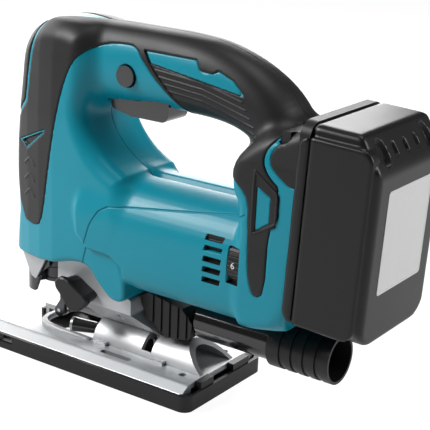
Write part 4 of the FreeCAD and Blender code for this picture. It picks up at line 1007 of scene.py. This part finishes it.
class JIGSAW_OT_housing(bpy.types.Operator):
    """Build the housing shells and their soft covering"""

    bl_idname = "jigsaw.housing"
    bl_label = "Housing and grips"

    def execute(self, context):
        build_housing()
        return {"FINISHED"}


class JIGSAW_OT_battery(bpy.types.Operator):
    """Build the battery's case, side panels and label plate"""

    bl_idname = "jigsaw.battery"
    bl_label = "Battery case"

    def execute(self, context):
        build_battery()
        return {"FINISHED"}


class JIGSAW_OT_dial_numbers(bpy.types.Operator):
    """Put the numbers on the speed dial"""

    bl_idname = "jigsaw.dial_numbers"
    bl_label = "Dial numbers"

    def execute(self, context):
        build_dial_numbers()
        return {"FINISHED"}


class JIGSAW_OT_base_details(bpy.types.Operator):
    """Build the raised rim of the base"""

    bl_idname = "jigsaw.base_details"
    bl_label = "Base details"

    def execute(self, context):
        build_base_details()
        return {"FINISHED"}


class JIGSAW_OT_lever(bpy.types.Operator):
    """Build the grip of the orbit selector"""

    bl_idname = "jigsaw.lever"
    bl_label = "Orbit selector"

    def execute(self, context):
        build_lever()
        return {"FINISHED"}


class JIGSAW_OT_stage(bpy.types.Operator):
    """Set up the floor, the lights and the camera"""

    bl_idname = "jigsaw.stage"
    bl_label = "Stage"

    def execute(self, context):
        build_stage()
        return {"FINISHED"}


STEPS = (JIGSAW_OT_finishes, JIGSAW_OT_housing, JIGSAW_OT_battery, JIGSAW_OT_dial_numbers, JIGSAW_OT_base_details,
         JIGSAW_OT_lever, JIGSAW_OT_stage)


class JIGSAW_PT_steps(bpy.types.Panel):
    """The jigsaw's steps and settings"""

    bl_label = "Jigsaw"
    bl_idname = "JIGSAW_PT_steps"
    bl_space_type = "VIEW_3D"
    bl_region_type = "UI"
    bl_category = "Jigsaw"

    def draw(self, context):
        for step in STEPS:
            self.layout.operator(step.bl_idname)
        for name in JigsawLook.__annotations__:
            self.layout.prop(context.scene.jigsaw_look, name)


CLASSES = (JigsawLook,) + STEPS + (JIGSAW_PT_steps,)


def register():
    for item in CLASSES:
        bpy.utils.register_class(item)
    bpy.types.Scene.jigsaw_look = bpy.props.PointerProperty(type=JigsawLook)


def unregister():
    del bpy.types.Scene.jigsaw_look
    for item in reversed(CLASSES):
        bpy.utils.unregister_class(item)


def main():
    register()
    bpy.ops.jigsaw.finishes()
    bpy.ops.jigsaw.housing()
    bpy.ops.jigsaw.battery()
    bpy.ops.jigsaw.dial_numbers()
    bpy.ops.jigsaw.base_details()
    bpy.ops.jigsaw.lever()
    bpy.ops.jigsaw.stage()


if __name__ == "__main__":
    main()
